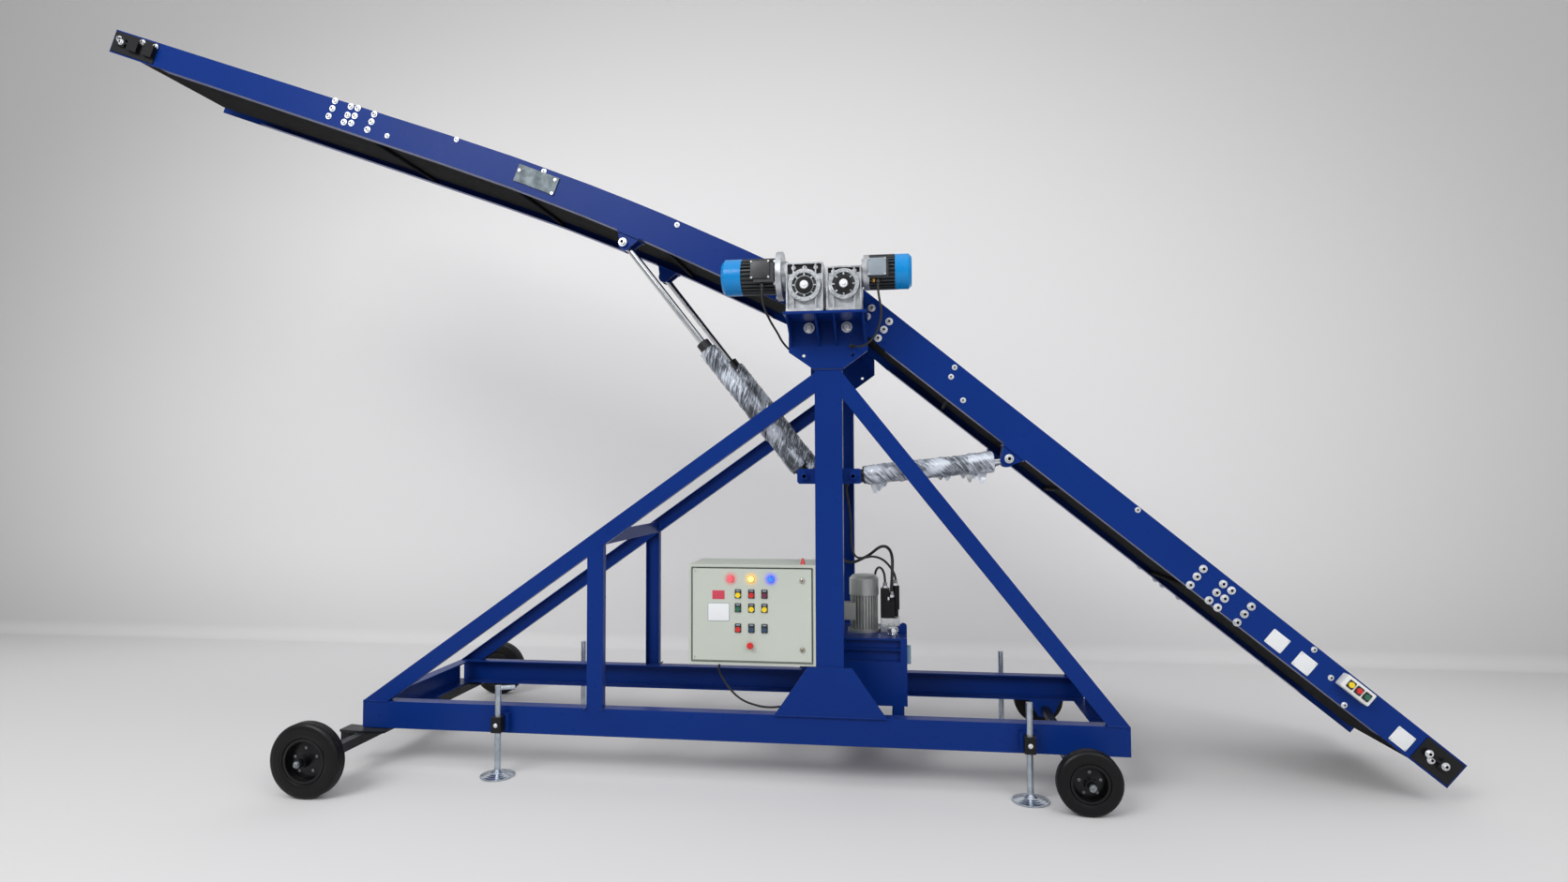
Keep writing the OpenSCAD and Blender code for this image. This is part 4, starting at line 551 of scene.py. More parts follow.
def turned_piece(name, profile, where, steps, material, body, slot):
    """A piece that is one turned profile."""
    bm = bmesh.new()
    turned_part(bm, profile, where, steps)
    made_of(name, bm, material, body, slot)


def flat_piece(name, outline, where, low, high, edge, material, body, slot):
    """A piece that is one slab."""
    bm = bmesh.new()
    slab(bm, rectangle(*outline), where, low, high, edge)
    made_of(name, bm, material, body, slot)


def ring_of(inner, outer, height):
    """The profile of a flat ring."""
    return [(inner, 0.0), (outer, 0.0), (outer, height), (inner, height), (inner, 0.0)]


def mm(*points):
    """Points that are given in millimetres."""
    return [tuple(c / 1000 for c in point) for point in points]


seal_rubber = finish_of("seal_rubber", (11, 11, 12), (8, 8, 9), 0.5, dust=0.03, specular=0.3)
# The darker grey floor in the slots of each output cover is painted shade.
slot_painted_shade = finish_of("slot_painted_shade", (74, 77, 80), (52, 55, 58), 0.45, metallic=0.6, dust=0.0)
cover_y, shelf_z, pit_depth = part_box("gearboxes")[0].y, 2.157, 0.0098
floor_y = cover_y + 0.026
seal_profile = mm((18, -4), (39.5, -4), (39.5, 1.5), (36, 3), (21, 2), (18, -4))
end_profile = mm((0, 0), (19, 0), (19, 11), (16.5, 13.5), (9, 13.5), (9, 18), (7.5, 19.5), (0, 19.5))
cover_screws, top_screws = [], []
seals, ends, slot_shade, pocket_shade, spokes = (bmesh.new() for _ in range(5))
for x, width, height in zip(shaft_x, (0.167, 0.156), (0.222, 0.200)):
    outer, inner = width * 0.385, width * 0.33
    ring = [(x + dx, shaft_z + dz) for dx, dz in round_about(8, outer, math.tau / 16)]
    cover_screws += on_side("gearboxes", ring, near)
    where = framed((x, cover_y, shaft_z))
    hollow = where @ Matrix.Translation((0, 0, -pit_depth))
    turned_part(slot_shade, ring_of(0.030, inner - 0.0005, 0.001), hollow)
    for k in range(8):
        spoke = hollow @ Matrix.Rotation(math.tau * k / 8, 4, "Z") @ Matrix.Translation((inner * 0.83, 0, 0))
        slab(spokes, rectangle(inner * 0.3, 0.007), spoke, 0.0005, 0.0075, 0.001)
    turned_part(spokes, ring_of(0.039, inner * 0.77, 0.009), hollow)
    top = shelf_z + height
    # A black sheet at the back of the recess above each cover is painted shade.
    back = framed((x, floor_y, (top + shaft_z) / 2 + 0.024))
    slab(pocket_shade, rectangle(width - 0.016, top - shaft_z - 0.064), back, 0.0002, 0.0012)
    for shift in (-0.3, 0.0, 0.3):
        top_screws.append(((x + width * shift, floor_y - 0.0012, top - 0.021), (0, -1, 0)))
    turned_part(seals, seal_profile, where)
    turned_part(ends, end_profile, where)
bolted("gear_cover_screws", "frame", cover_screws, 0.0055, 0.0065)
bolted("gear_top_screws", "frame", top_screws, 0.0075, 0.0095)
made_of("gear_slot_shade", slot_shade, slot_painted_shade, "frame", "gear_alloy")
made_of("gear_pocket_shade", pocket_shade, black_satin, "frame", "black_steel")
made_of("gear_spokes", spokes, cast_alloy, "frame", "gear_alloy")
made_of("gear_seals", seals, seal_rubber, "frame", "belt_rubber")
made_of("gear_shaft_ends", ends, zinc_plate, "frame", "zinc")
flange_screws, motor_y = [], -0.609
for x, z, out, radius in ((mast_x - 0.2175, 2.337, -1, 0.097), (mast_x + 0.2, 2.34, 1, 0.069)):
    ring = [(x + out * 0.25, motor_y + dy, z + dz) for dy, dz in round_about(6, radius, math.tau / 12)]
    flange_screws += seats_on("motor_flanges", ring, (-out, 0, 0))
bolted("motor_flange_screws", "frame", flange_screws, 0.008, 0.0095)


# Motors: finned cast bodies in dark grey, each with a flat terminal box on its near side
# and a bright blue pressed cowl over the fan.
motor_dark = finish_of("motor_dark", (48, 51, 54), (36, 39, 42), 0.34, cloud=12.0, dust=0.1, relief=0.12,
                       edge=0.002)
lid_grey = finish_of("lid_grey", (142, 152, 162), (126, 136, 146), 0.32, coat=0.2, dust=0.05)
cowl_blue = finish_of("cowl_blue", (0, 134, 204), (0, 124, 194), 0.22, coat=0.1, dust=0.02, specular=0.3,
                      edge=0.004)
dress(motor_dark, "motors")
dress(cowl_blue, "motor_cowls")
box_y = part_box("motors")[0].y
lid_screws, glands = [], bmesh.new()
for label, x, z, width, height, paint in (("left", mast_x - 0.285, 2.347, 0.092, 0.086, motor_dark),
                                          ("right", mast_x + 0.236, 2.342, 0.084, 0.082, lid_grey)):
    where, less = framed((x, box_y, z)), 0.004
    flat_piece("terminal_base_" + label, (width, height, 0.005), where, -0.022, 0.0, 0.002,
               motor_dark, "frame", "motor_grey")
    flat_piece("terminal_lid_" + label, (width - less, height - less, 0.006), where, -0.001, 0.006, 0.002,
               paint, "frame", "motor_grey")
    for dx in (-0.42, 0.42):
        for dz in (-0.42, 0.42):
            lid_screws.append((where @ Vector((width * dx, height * dz, 0.006)), (0, -1, 0)))
bolted("terminal_screws", "frame", lid_screws, 0.0035, 0.0048, height=0.003)
brass = finish_of("brass", (206, 158, 78), (176, 130, 58), 0.26, metallic=1.0, cloud=30.0, dust=0.04)
gland_profile = mm((6.5, 0), (9.5, 0), (9.5, 8), (7.5, 10), (7.5, 16), (6.5, 16), (6.5, 0))
for x in (mast_x + 0.222, mast_x + 0.240):
    turned_part(glands, gland_profile, framed((x, -0.688, 2.2935), (0, 0, -1)), 6)
made_of("brass_glands", glands, brass, "frame", "zinc")


# The booms: folded steel side plates with turned lips, spliced with rows of bolts,
# round a slider bed and a one piece rubber belt that runs over the drum and the end roller.
belt_rubber = finish_of("belt_rubber", (17, 17, 18), (12, 12, 13), 0.78, cloud=4.0, dust=0.03, grain=900.0,
                        relief=0.3, specular=0.08)
dress(belt_rubber, "upper_belt", "lower_belt")
# The slider beds are dark blue-black, painted shade for the booms' undersides, with a little dust.
bed_painted_shade = finish_of("bed_painted_shade", (11, 13, 20), (8, 10, 15), 0.7, dust=0.08, specular=0.1)
dress(bed_painted_shade, "upper_bed", "lower_bed")
dress(black_satin, "upper_takeups", "lower_takeups")
galvanised = finish_of("galvanised", (92, 100, 104), (62, 70, 74), 0.36, metallic=0.7, cloud=26.0, dust=0.1)
dress(galvanised, "upper_cover")
nose_splice = [(-1.973, 3.403), (-1.988, 3.364), (-2.009, 3.324), (-1.883, 3.368), (-1.843, 3.356),
               (-1.901, 3.323), (-1.86, 3.316), (-1.921, 3.287), (-1.879, 3.279), (-1.749, 3.318),
               (-1.764, 3.279), (-1.787, 3.239)]
foot_splice = [(2.289, 1.002), (2.261, 0.968), (2.232, 0.93), (2.371, 0.936), (2.405, 0.908), (2.342, 0.898),
               (2.375, 0.872), (2.31, 0.863), (2.345, 0.832), (2.486, 0.839), (2.456, 0.805), (2.425, 0.768)]
feed_head = [(0.827, 2.22), (0.804, 2.18), (0.908, 2.153), (0.883, 2.115), (0.855, 2.075)]
upper_small = [(-1.675, 3.199), (-1.29, 3.157), (-0.817, 2.966), (-0.125, 2.662)]
lower_small = [(1.21, 1.928), (1.193, 1.884), (1.247, 1.773), (2.015, 1.264), (2.739, 0.656), (2.804, 0.536),
               (2.854, 0.42)]
cover_corners = [(-0.945, 2.977), (-0.755, 2.918), (-0.772, 2.85), (-0.958, 2.916)]
nose_takeup = [(-3.266, 3.832), (-3.243, 3.806), (-3.12, 3.80), (-3.04, 3.77)]
foot_takeup = [(3.239, 0.178), (3.176, 0.23), (3.19, 0.2)]
upper_lug, lower_lug = [(-0.403, 2.588)], [(1.4526, 1.499)]
for name, boom, part, places, head, washer, sides in (
        ("nose_splice_bolts", "upper", "sides", nose_splice, 0.0115, 0.0165, both),
        ("upper_small_bolts", "upper", "sides", upper_small, 0.009, 0.013, both),
        ("foot_splice_bolts", "lower", "sides", foot_splice, 0.0125, 0.018, both),
        ("feed_head_bolts", "lower", "sides", feed_head, 0.0125, 0.018, both),
        ("lower_small_bolts", "lower", "sides", lower_small, 0.009, 0.013, both),
        ("cover_bolts", "upper", "cover", cover_corners, 0.0055, 0.008, near),
        ("nose_takeup_bolts", "upper", "takeups", nose_takeup, 0.012, 0.016, both),
        ("foot_takeup_bolts", "lower", "takeups", foot_takeup, 0.012, 0.017, both),
        ("upper_lug_pins", "upper", "sides", upper_lug, 0.016, 0.021, both),
        ("lower_lug_pins", "lower", "sides", lower_lug, 0.016, 0.021, both)):
    bolted(name, boom + "_boom", on_side(boom + "_" + part, places, sides), head, washer)


# Foot station: a white moulded push button box on the feed boom, in easy reach of the loader,
# with a yellow, a red and a green button on dark collars.
station_white = finish_of("station_white", (226, 227, 224), (210, 211, 207), 0.38, dust=0.1)
control_black = finish_of("control_black", (28, 29, 32), (20, 21, 23), 0.36, dust=0.05)
signal = {colour: finish_of("signal_" + colour, tone, shade, rough, coat=coat, dust=dust)
          for colour, tone, shade, rough, coat, dust in (
              ("red", (206, 24, 22), (176, 16, 16), 0.26, 0.4, 0.04),
              ("yellow", (236, 206, 16), (222, 190, 10), 0.28, 0.3, 0.02),
              ("green", (24, 96, 74), (18, 76, 60), 0.28, 0.4, 0.04),
              ("plum", (104, 24, 60), (84, 18, 48), 0.3, 0.4, 0.04),
              ("navy", (26, 58, 92), (20, 44, 72), 0.3, 0.4, 0.04))}
feed_pivot = Vector((0.712876, 0, 2.275))
down_feed = Vector((0.76938, 0, -0.63879))
off_feed = Vector((0.63879, 0, 0.76938))
station_s, station_up, face_y = 2.8148, 0.022, -0.446
station_at = feed_pivot + down_feed * station_s + off_feed * station_up
where = framed((station_at.x, face_y, station_at.z), (0, -1, 0), down_feed)
case = bmesh.new()
slab(case, rectangle(0.14, 0.06, 0.006), where, -0.046, 0.0, 0.002)
slab(case, rectangle(0.132, 0.052, 0.004), where, 0.0, 0.0025, 0.001)
made_of("station_case", case, station_white, "lower_boom", "cabinet_grey", "foot_station")
collars, pitch = bmesh.new(), 0.039
for shift in (-pitch, 0.0, pitch):
    spot = where @ Matrix.Translation((shift, 0, 0.0025))
    slab(collars, rectangle(0.031, 0.036, 0.004), spot, 0.0, 0.004, 0.001)
made_of("station_collars", collars, control_black, "lower_boom", "control_plastic")
push_profile = mm((0, 0), (12.5, 0), (12.5, 4), (11.5, 6.2), (0, 6.8))
for colour, shift in (("yellow", -pitch), ("red", 0.0), ("green", pitch)):
    spot = where @ Matrix.Translation((shift, 0, 0.0065))
    turned_piece("station_" + colour, push_profile, spot, 28, signal[colour], "lower_boom", "control_plastic")


# Blank plates: plain white enamelled plates riveted to the feed boom's near side,
# three along its length, each on four small rivets.
plate_white = finish_of("plate_white", (222, 224, 226), (214, 216, 218), 0.34, dust=0.04)
plates, rivets = bmesh.new(), []
width, height, thick = 0.085, 0.072, 0.0016
for x, z in ((2.59, 0.689), (2.699, 0.594), (3.082, 0.284)):
    point = landed("lower_sides", (x, -outside, z), (0, 1, 0))
    if point is None:
        continue
    spot = framed(point, (0, -1, 0), down_feed)
    slab(plates, rectangle(width, height, 0.004), spot, 0.0, thick, 0.0005)
    for dx in (-0.43, 0.43):
        for dz in (-0.41, 0.41):
            rivets.append((spot @ Vector((width * dx, height * dz, thick)), (0, -1, 0)))
made_of("blank_plates", plates, plate_white, "lower_boom", "cabinet_grey")
bolted("plate_rivets", "lower_boom", rivets, 0.0022, 0.003, height=0.0012)


# Lift cylinders: black barrels and polished chrome rods, still in the clear stretch film that
# they were delivered in, wound round and round so that it crinkles and whitens, with painted reflection in
# its colour.
barrel_black = finish_of("barrel_black", (26, 27, 29), (18, 19, 21), 0.34, dust=0.08)
chrome = finish_of("chrome", (222, 224, 227), (204, 207, 211), 0.1, metallic=1.0, cloud=20.0, dust=0.02,
                   swing=0.06, relief=0.01)
dress(barrel_black, "upper_barrels", "lower_barrels")
dress(chrome, "upper_rods", "lower_rods")
film, tree, shader = shaded("stretch_film")
where_on = add(tree, "ShaderNodeTexCoord").outputs["Object"]
crease_and_reflection_mask = add(tree, "ShaderNodeAttribute", attribute_name="crease_and_reflection").outputs["Fac"]
blots = ramp(tree, speckle(tree, where_on, 9.0, 2.0), 0.3, 0.7)
# The film is whiter where it crinkles and where painted reflection is laid on.
whiteness_and_reflection = figure(tree, "MULTIPLY", crease_and_reflection_mask, figure(tree, "ADD", blots, 0.55))
dent = add(tree, "ShaderNodeBump", {
    "Strength": 0.5, "Distance": 0.003, "Height": speckle(tree, where_on, 90.0, 3.0)})
feed(tree, shader, {
    "Base Color": tinted(tree, whiteness_and_reflection, linear(92, 102, 118), linear(204, 211, 222)),
    "Alpha": ramp(tree, whiteness_and_reflection, -0.06, 0.8), "Roughness": 0.16, "Coat Weight": 0.6, "Coat Roughness": 0.06,
    "Normal": dent.outputs["Normal"]})


def wound_film(name, body, base, along, start, end, radius, flaps, seed, milk=0.0):
    """Film wound on a barrel: a thin open sleeve in crinkles that run round and askew, whiter along the
    crinkles and with broad patches of painted reflection.
    """
    row_step, lead, slack = 0.0045, 0.034, 0.006
    rounds, rows = 88, int((end - start) / row_step)
    aim = Vector(along).normalized()
    where = framed(base, aim, (0, 1, 0))
    verts, crease_and_reflection = [], []
    for row in range(rows + 1):
        s = start + (end - start) * row / rows
        hem = min(row, rows - row) / rows
        for k in range(rounds):
            turn = math.tau * k / rounds
            ring = Vector((math.cos(turn), math.sin(turn), 0))
            lap = s - lead * turn
            long_fold = abs(noise.noise(Vector((turn * 0.9 + seed * 5, lap * 60, seed))))
            fine_fold = abs(noise.noise(Vector((turn * 1.6, lap * 190, seed + 3))))
            fold = 0.65 * long_fold + 0.35 * fine_fold
            broad = noise.noise(ring * 1.1 + Vector((0, seed, s * 7)))
            out = radius + 0.0015 + 0.0105 * fold + 0.004 * broad
            out -= 0.004 * max(0.0, 1 - hem * 26)
            sag = 0.004 * max(0.0, -ring.x) if abs(aim.x) > 0.8 else 0.0
            point = where @ Vector((out * ring.x - sag, out * ring.y, s))
            verts.append(point)
            ridge = (1 - abs(noise.noise(Vector((turn * 0.5 + seed, lap * 64, seed * 2))))) ** 7
            # Broad patches of painted reflection join the whitening of the crinkles and of the extra layers.
            painted_reflection = noise.noise(Vector((ring.x * 0.9, ring.y * 0.9 + seed * 3, s * 9)))
            whitening_and_reflection = 0.05 + milk + 0.9 * max(0.0, painted_reflection) + 0.55 * ridge + 0.5 * fine_fold
            crease_and_reflection.append(min(1.0, whitening_and_reflection))
    faces = []
    for row in range(rows):
        for k in range(rounds):
            a, b = row * rounds + k, row * rounds + (k + 1) % rounds
            faces.append((a, b, b + rounds, a + rounds))
    for s, length, width in flaps:
        first = len(verts)
        hang = where @ Vector((0, 0, s))
        for row in range(7):
            share = row / 6
            half = width / 2 * math.cos(share * 1.25) * (1 - 0.25 * share)
            for side in range(5):
                place = side / 2 - 1
                curl = 0.006 * math.sin(share * 5 + place * 2 + seed)
                verts.append(hang + Vector((half * place, curl, -radius * 0.9 - length * share)))
                crease_and_reflection.append(0.55 + 0.3 * share)
        for row in range(6):
            for side in range(4):
                i = first + row * 5 + side
                faces.append((i, i + 1, i + 6, i + 5))
    mesh = bpy.data.meshes.new(name)
    mesh.from_pydata([tuple(v) for v in verts], [], faces)
    mark = mesh.attributes.new("crease_and_reflection", "FLOAT", "POINT")
    mark.data.foreach_set("value", crease_and_reflection)
    mesh.materials.append(film)
    mesh.shade_smooth()
    piece = show(name, mesh)
    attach(piece, body)


clevis_x, clevis_z, lift_y = (mast_x - 0.12, mast_x + 0.11), 1.421, 0.355
pin_seats = on_side("mast_ties", [(x, clevis_z) for x in clevis_x])
bolted("clevis_bolts", "frame", pin_seats, 0.017, 0.023, material=blue_enamel, slot="blue_paint")
upper_base, upper_aim = Vector((0.504876, 0, clevis_z)), (-0.613336, 0, 0.789822)
lower_base, lower_aim = Vector((0.734876, 0, clevis_z)), (0.995066, 0, 0.09922)
barrel_flaps = [(0.10, 0.055, 0.05), (0.13, 0.035, 0.04), (0.44, 0.03, 0.04)]
rod_flaps = [(0.60, 0.055, 0.05), (0.565, 0.03, 0.04)]
for face, label in ((-1, "near"), (1, "far")):
    upper_at, lower_at = (base + Vector((0, face * lift_y, 0)) for base in (upper_base, lower_base))
    wound_film("upper_film_" + label, "upper_lift_barrels", upper_at, upper_aim, 0.05, 0.79, 0.042,
               [], 1.0 + face)
    wound_film("lower_film_" + label, "lower_lift_barrels", lower_at, lower_aim, 0.05, 0.555, 0.042,
               barrel_flaps, 4.0 + face, milk=0.1)
    wound_film("lower_rod_film_" + label, "lower_lift_rods", lower_at, lower_aim, 0.535, 0.655, 0.046,
               rod_flaps, 7.0 + face, milk=0.14)


# Running gear: a black steered axle on a king pin, a plain fixed axle, ribbed tyres on black
# pressed rims, five worn steel bolts round each disc and a nut on each spindle.
tyre_rubber = finish_of("tyre_rubber", (9, 9, 11), (6, 6, 8), 0.34, cloud=7.0, dust=0.02, grain=700.0,
                        relief=0.1, specular=0.25, edge=0.004)
rim_black = finish_of("rim_black", (10, 11, 13), (7, 8, 10), 0.26, dust=0.03, specular=0.3, edge=0.002)
worn_steel = finish_of("worn_steel", (158, 164, 168), (112, 118, 122), 0.34, metallic=0.9, cloud=40.0,
                       dust=0.06)
axle_black = finish_of("axle_black", (17, 20, 27), (12, 15, 21), 0.36, dust=0.06, relief=0.12,
                       specular=0.3, edge=0.003)
dress(axle_black, "steer_axle", "fixed_axle")
for wheel, ring in (("steer", 0.055), ("fixed", 0.046)):
    for label, face in (("near", -1), ("far", 1)):
        tyre, rim, body = wheel + "_tyre_" + label, wheel + "_rim_" + label, wheel + "_wheel_" + label
        dress(tyre_rubber, tyre)
        dress(rim_black, rim)
        low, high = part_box(tyre)
        x, z = (low.x + high.x) / 2, (low.z + high.z) / 2
        places = [(x + dx, z + dz) for dx, dz in round_about(5, ring, 0.35)]
        bolted(wheel + "_rim_bolts_" + label, body, on_side(rim, places, (face,)), 0.005, 0.0065,
               material=worn_steel)
        seats = on_side(rim, [(x, z)], (face,)) or on_side(wheel + "_axle", [(x, z)], (face,))
        if seats:
            bolted(wheel + "_hub_nut_" + label, body, seats, 0.0125, 0.0155, stud=0.004, height=0.008,
                   material=worn_steel)


# Jacks: zinc plated screws in black square sleeves, each with a set bolt, on dished round feet.
# The screw's thread is a fine band of bumps up its length.
dress(black_satin, "jack_sleeves")
jack_zinc = finish_of("jack_zinc", (206, 214, 222), (176, 186, 196), 0.17, metallic=1.0, cloud=24.0,
                      dust=0.02)
tree = jack_zinc.node_tree
up_screw = add(tree, "ShaderNodeTexCoord").outputs["Object"]
thread = add(tree, "ShaderNodeTexWave", {"Vector": up_screw, "Scale": 78.0}, wave_type="BANDS",
             bands_direction="Z")
crests = add(tree, "ShaderNodeBump", {"Strength": 0.35, "Distance": 0.0012, "Height": thread.outputs["Fac"]})
tree.links.new(crests.outputs["Normal"], tree.nodes["Bump"].inputs["Normal"])
dress(jack_zinc, "jack_left_near", "jack_left_far", "jack_right_near", "jack_right_far")
sleeve_places = [(-0.9591, 0.2445), (1.5049, 0.2445)]
bolted("jack_set_bolts", "frame", on_side("jack_sleeves", sleeve_places), 0.008, 0.0105, stud=0.004)


# Cabinet: a pale grey powder coated steel enclosure with a flush hinged door. Three lit lamps,
# nine push buttons, a red stop mushroom and two quarter turn locks sit on the door.
powder = finish_of("powder_coat", (187, 193, 183), (181, 187, 177), 0.42, dust=0.04, grain=1500.0,
                   relief=0.1, cloud=2.2, edge=0.003)
dress(powder, "cabinet_shell", "cabinet_door")
door_y, lamp_z = -0.499, 0.943
door_low, door_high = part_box("cabinet_door")
# A thin grey frame on the shell round the door is painted shade: it stands in for the shadow in the gap round
# the door.
gap_shade_frame, lip, gap = bmesh.new(), 0.0035, 0.003
shell_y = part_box("cabinet_shell")[0].y
mid_x, mid_z = (door_low.x + door_high.x) / 2, (door_low.z + door_high.z) / 2
wide, tall = door_high.x - door_low.x + 2 * gap + lip, door_high.z - door_low.z + 2 * gap + lip
for shift_x, shift_z, width, height in ((0, tall / 2, wide + lip, lip), (0, -tall / 2, wide + lip, lip),
                                        (wide / 2, 0, lip, tall - lip), (-wide / 2, 0, lip, tall - lip)):
    spot = framed((mid_x + shift_x, shell_y, mid_z + shift_z))
    slab(gap_shade_frame, rectangle(width, height), spot, 0.0, 0.0008)
gap_shade_grey = finish_of("gap_shade_grey", (62, 68, 66), (50, 56, 54), 0.6, dust=0.02, specular=0.2)
made_of("door_gap_shade", gap_shade_frame, gap_shade_grey, "frame", "belt_rubber")


def on_door(x, z):
    """A frame on the door's face."""
    return framed((x, door_y, z))


bezel_profile = mm((0, 0), (14.5, 0), (14.5, 3), (13, 5), (11, 5), (11, 4.5), (0, 4.5))
bezels, legends, labels = bmesh.new(), bmesh.new(), bmesh.new()
lamp_x = (0.1619, 0.2591, 0.3521)
for x in lamp_x:
    turned_part(bezels, bezel_profile, on_door(x, lamp_z), 36)
columns, rows = (0.1967, 0.2603, 0.3221), (0.8732, 0.8081, 0.7141)
for x in columns:
    for z in rows:
        spot = on_door(x, z)
        slab(legends, rectangle(0.030, 0.042, 0.004), spot, 0.0, 0.0035, 0.0008)
        upper = spot @ Matrix.Translation((0, 0.0145, 0.0035))
        slab(labels, rectangle(0.018, 0.005, 0.001), upper, 0.0, 0.0008)
made_of("lamp_bezels", bezels, control_black, "cabinet_door", "control_plastic", "door_controls")
made_of("button_legends", legends, control_black, "cabinet_door", "control_plastic")
strip_grey = finish_of("strip_grey", (150, 164, 176), (136, 150, 162), 0.4, dust=0.02)
made_of("legend_strips", labels, strip_grey, "cabinet_door", "control_plastic")
cap_profile = mm((0, 3), (12.5, 3), (12.5, 8), (11.5, 10.5), (0, 11.2))
caps = (("yellow", "red", "plum"), ("green", "yellow", "yellow"), ("red", "navy", "navy"))
for z, line in zip(rows, caps):
    for x, colour in zip(columns, line):
        name = "button_%s_%d_%d" % (colour, round(x * 1000), round(z * 1000))
        turned_piece(name, cap_profile, on_door(x, z - 0.006), 28, signal[colour], "cabinet_door",
                     "control_plastic")


def lit_lens(name, colour, glow, strength):
    """A moulded lens with a lamp alight behind it."""
    made, tree, shader = shaded(name)
    spot = add(tree, "ShaderNodeTexCoord").outputs["Object"]
    tone = tinted(tree, ramp(tree, speckle(tree, spot, 420.0, 1.0), 0.3, 0.7), colour, glow)
    feed(tree, shader, {"Base Color": tone, "Emission Color": tone, "Emission Strength": strength,
                        "Roughness": 0.18})
    return made


lamp_glow = {"red": (linear(232, 34, 52), linear(255, 96, 108), 1.1),
             "yellow": (linear(255, 190, 30), linear(255, 238, 150), 1.6),
             "blue": (linear(14, 20, 255), linear(50, 120, 255), 1.7)}
bulb_profile = mm((0, 4), (13.5, 4), (13.5, 10), (11.5, 13.8), (6, 15.8), (0, 16))
for x, (colour, glowing) in zip(lamp_x, lamp_glow.items()):
    lens_lit = lit_lens("lens_" + colour, *glowing)
    turned_piece("lamp_" + colour, bulb_profile, on_door(x, lamp_z), 32, lens_lit, "cabinet_door",
                 "control_plastic")
# Round each lamp, a flat disc on the door fades out from the lens: painted light, the lamp's glow on the
# door.
halo_y, halo_rings, halo_step, around = door_y - 0.0007, 6, 0.0065, 32
for x, (colour, (deep, _, strength)) in zip(lamp_x, lamp_glow.items()):
    verts, faces, glow = [(x, halo_y, lamp_z)], [], [1.0]
    for ring in range(1, halo_rings + 1):
        for k in range(around):
            turn, out = math.tau * k / around, halo_step * ring
            verts.append((x + out * math.cos(turn), halo_y, lamp_z + out * math.sin(turn)))
            glow.append((1 - ring / halo_rings) ** 1.6)
            low, nxt = (ring - 1) * around + 1, (k + 1) % around
            if ring == 1:
                faces.append((0, 1 + k, 1 + nxt))
            else:
                faces.append((low - around + k, low + k, low + nxt, low - around + nxt))
    mesh = bpy.data.meshes.new("lamp_painted_glow_" + colour)
    mesh.from_pydata(verts, [], faces)
    mesh.attributes.new("glow", "FLOAT", "POINT").data.foreach_set("value", glow)
    painted_glow, tree, shader = shaded("halo_" + colour)
    fade = add(tree, "ShaderNodeAttribute", attribute_name="glow").outputs["Fac"]
    feed(tree, shader, {"Alpha": figure(tree, "MULTIPLY", fade, 0.8), "Base Color": deep,
                        "Emission Color": deep, "Emission Strength": strength * 0.5})
    mesh.materials.append(painted_glow)
    settle(show("lamp_painted_glow_" + colour, mesh), "cabinet_door", "control_plastic")
stop_profile = mm((0, 2), (9, 2), (9, 12), (15.5, 15), (16, 19), (13.5, 23.5), (8, 25.5), (0, 26))
turned_piece("stop_mushroom", stop_profile, on_door(0.2561, 0.636), 36, signal["red"], "cabinet_door",
             "signal_red")
nickel = finish_of("nickel", (196, 190, 180), (160, 152, 140), 0.18, metallic=1.0, cloud=30.0, dust=0.03)
lock_profile = mm((0, 0), (12, 0), (12, 4), (10.5, 7.5), (6, 9), (6, 6), (0, 6))
locks, slots = bmesh.new(), bmesh.new()
for z in (0.938, 0.62):
    spot = on_door(0.4991, z)
    turned_part(locks, lock_profile, spot, 32)
    slab(slots, rectangle(0.003, 0.010, 0.001), spot, 0.006, 0.0085)
made_of("lock_bodies", locks, nickel, "cabinet_door", "zinc")
made_of("lock_slots", slots, control_black, "cabinet_door", "control_plastic")
plate_rose = finish_of("plate_rose", (196, 62, 84), (184, 52, 72), 0.36, dust=0.03)
large_at, small_at = on_door(0.1044, 0.787), on_door(0.1034, 0.8675)
for name, outline, spot, low, high, edge, paint, slot in (
        ("door_plate", (0.099, 0.080, 0.003), large_at, 0.0005, 0.0016, 0.0004, plate_white, "cabinet_grey"),
        ("door_plate_edge", (0.104, 0.085, 0.004), large_at, 0.0, 0.001, 0.0003, lid_grey, "motor_grey"),
        ("door_plate_small", (0.059, 0.041, 0.003), small_at, 0.0, 0.0012, 0.0004, plate_rose, "signal_red")):
    flat_piece(name, outline, spot, low, high, edge, paint, "cabinet_door", slot)
dress(signal["red"], "beacon")


# Power pack: a blue oil tank on legs with a grey flanged pump motor, a bright valve block,
# black valves, bright hose fittings, a filler breather and a level gauge.
pump_grey = finish_of("pump_grey", (176, 179, 176), (150, 153, 150), 0.32, metallic=0.55, cloud=8.0,
                      dust=0.05, edge=0.002)
block_alloy = finish_of("block_alloy", (228, 230, 231), (206, 208, 210), 0.3, metallic=0.55, cloud=18.0,
                        dust=0.06)
dress(pump_grey, "pack_motor")
dress(black_satin, "pack_valves")
dress(control_black, "cable_glands")
tank_top, block_x = 0.626, 0.8949
plug_profile = mm((0, 0), (10, 0), (10, 7), (8.5, 9), (0, 9))
block = bmesh.new()
slab(block, rectangle(0.096, 0.09, 0.003), framed((block_x, 0.0, tank_top), (0, 0, 1)), 0.0, 0.07, 0.0015)
for shift in (-0.03, 0.0, 0.03):
    turned_part(block, plug_profile, framed((block_x + shift, -0.045, tank_top + 0.035)), 6)
made_of("valve_block", block, block_alloy, "frame", "gear_alloy", "pack_manifold")
nut_profile = mm((0, 0), (13.5, 0), (13.5, 12), (0, 12))
ferrule_profile = mm((0, 12), (11.5, 12), (10.5, 30), (0, 30))
fittings = bmesh.new()
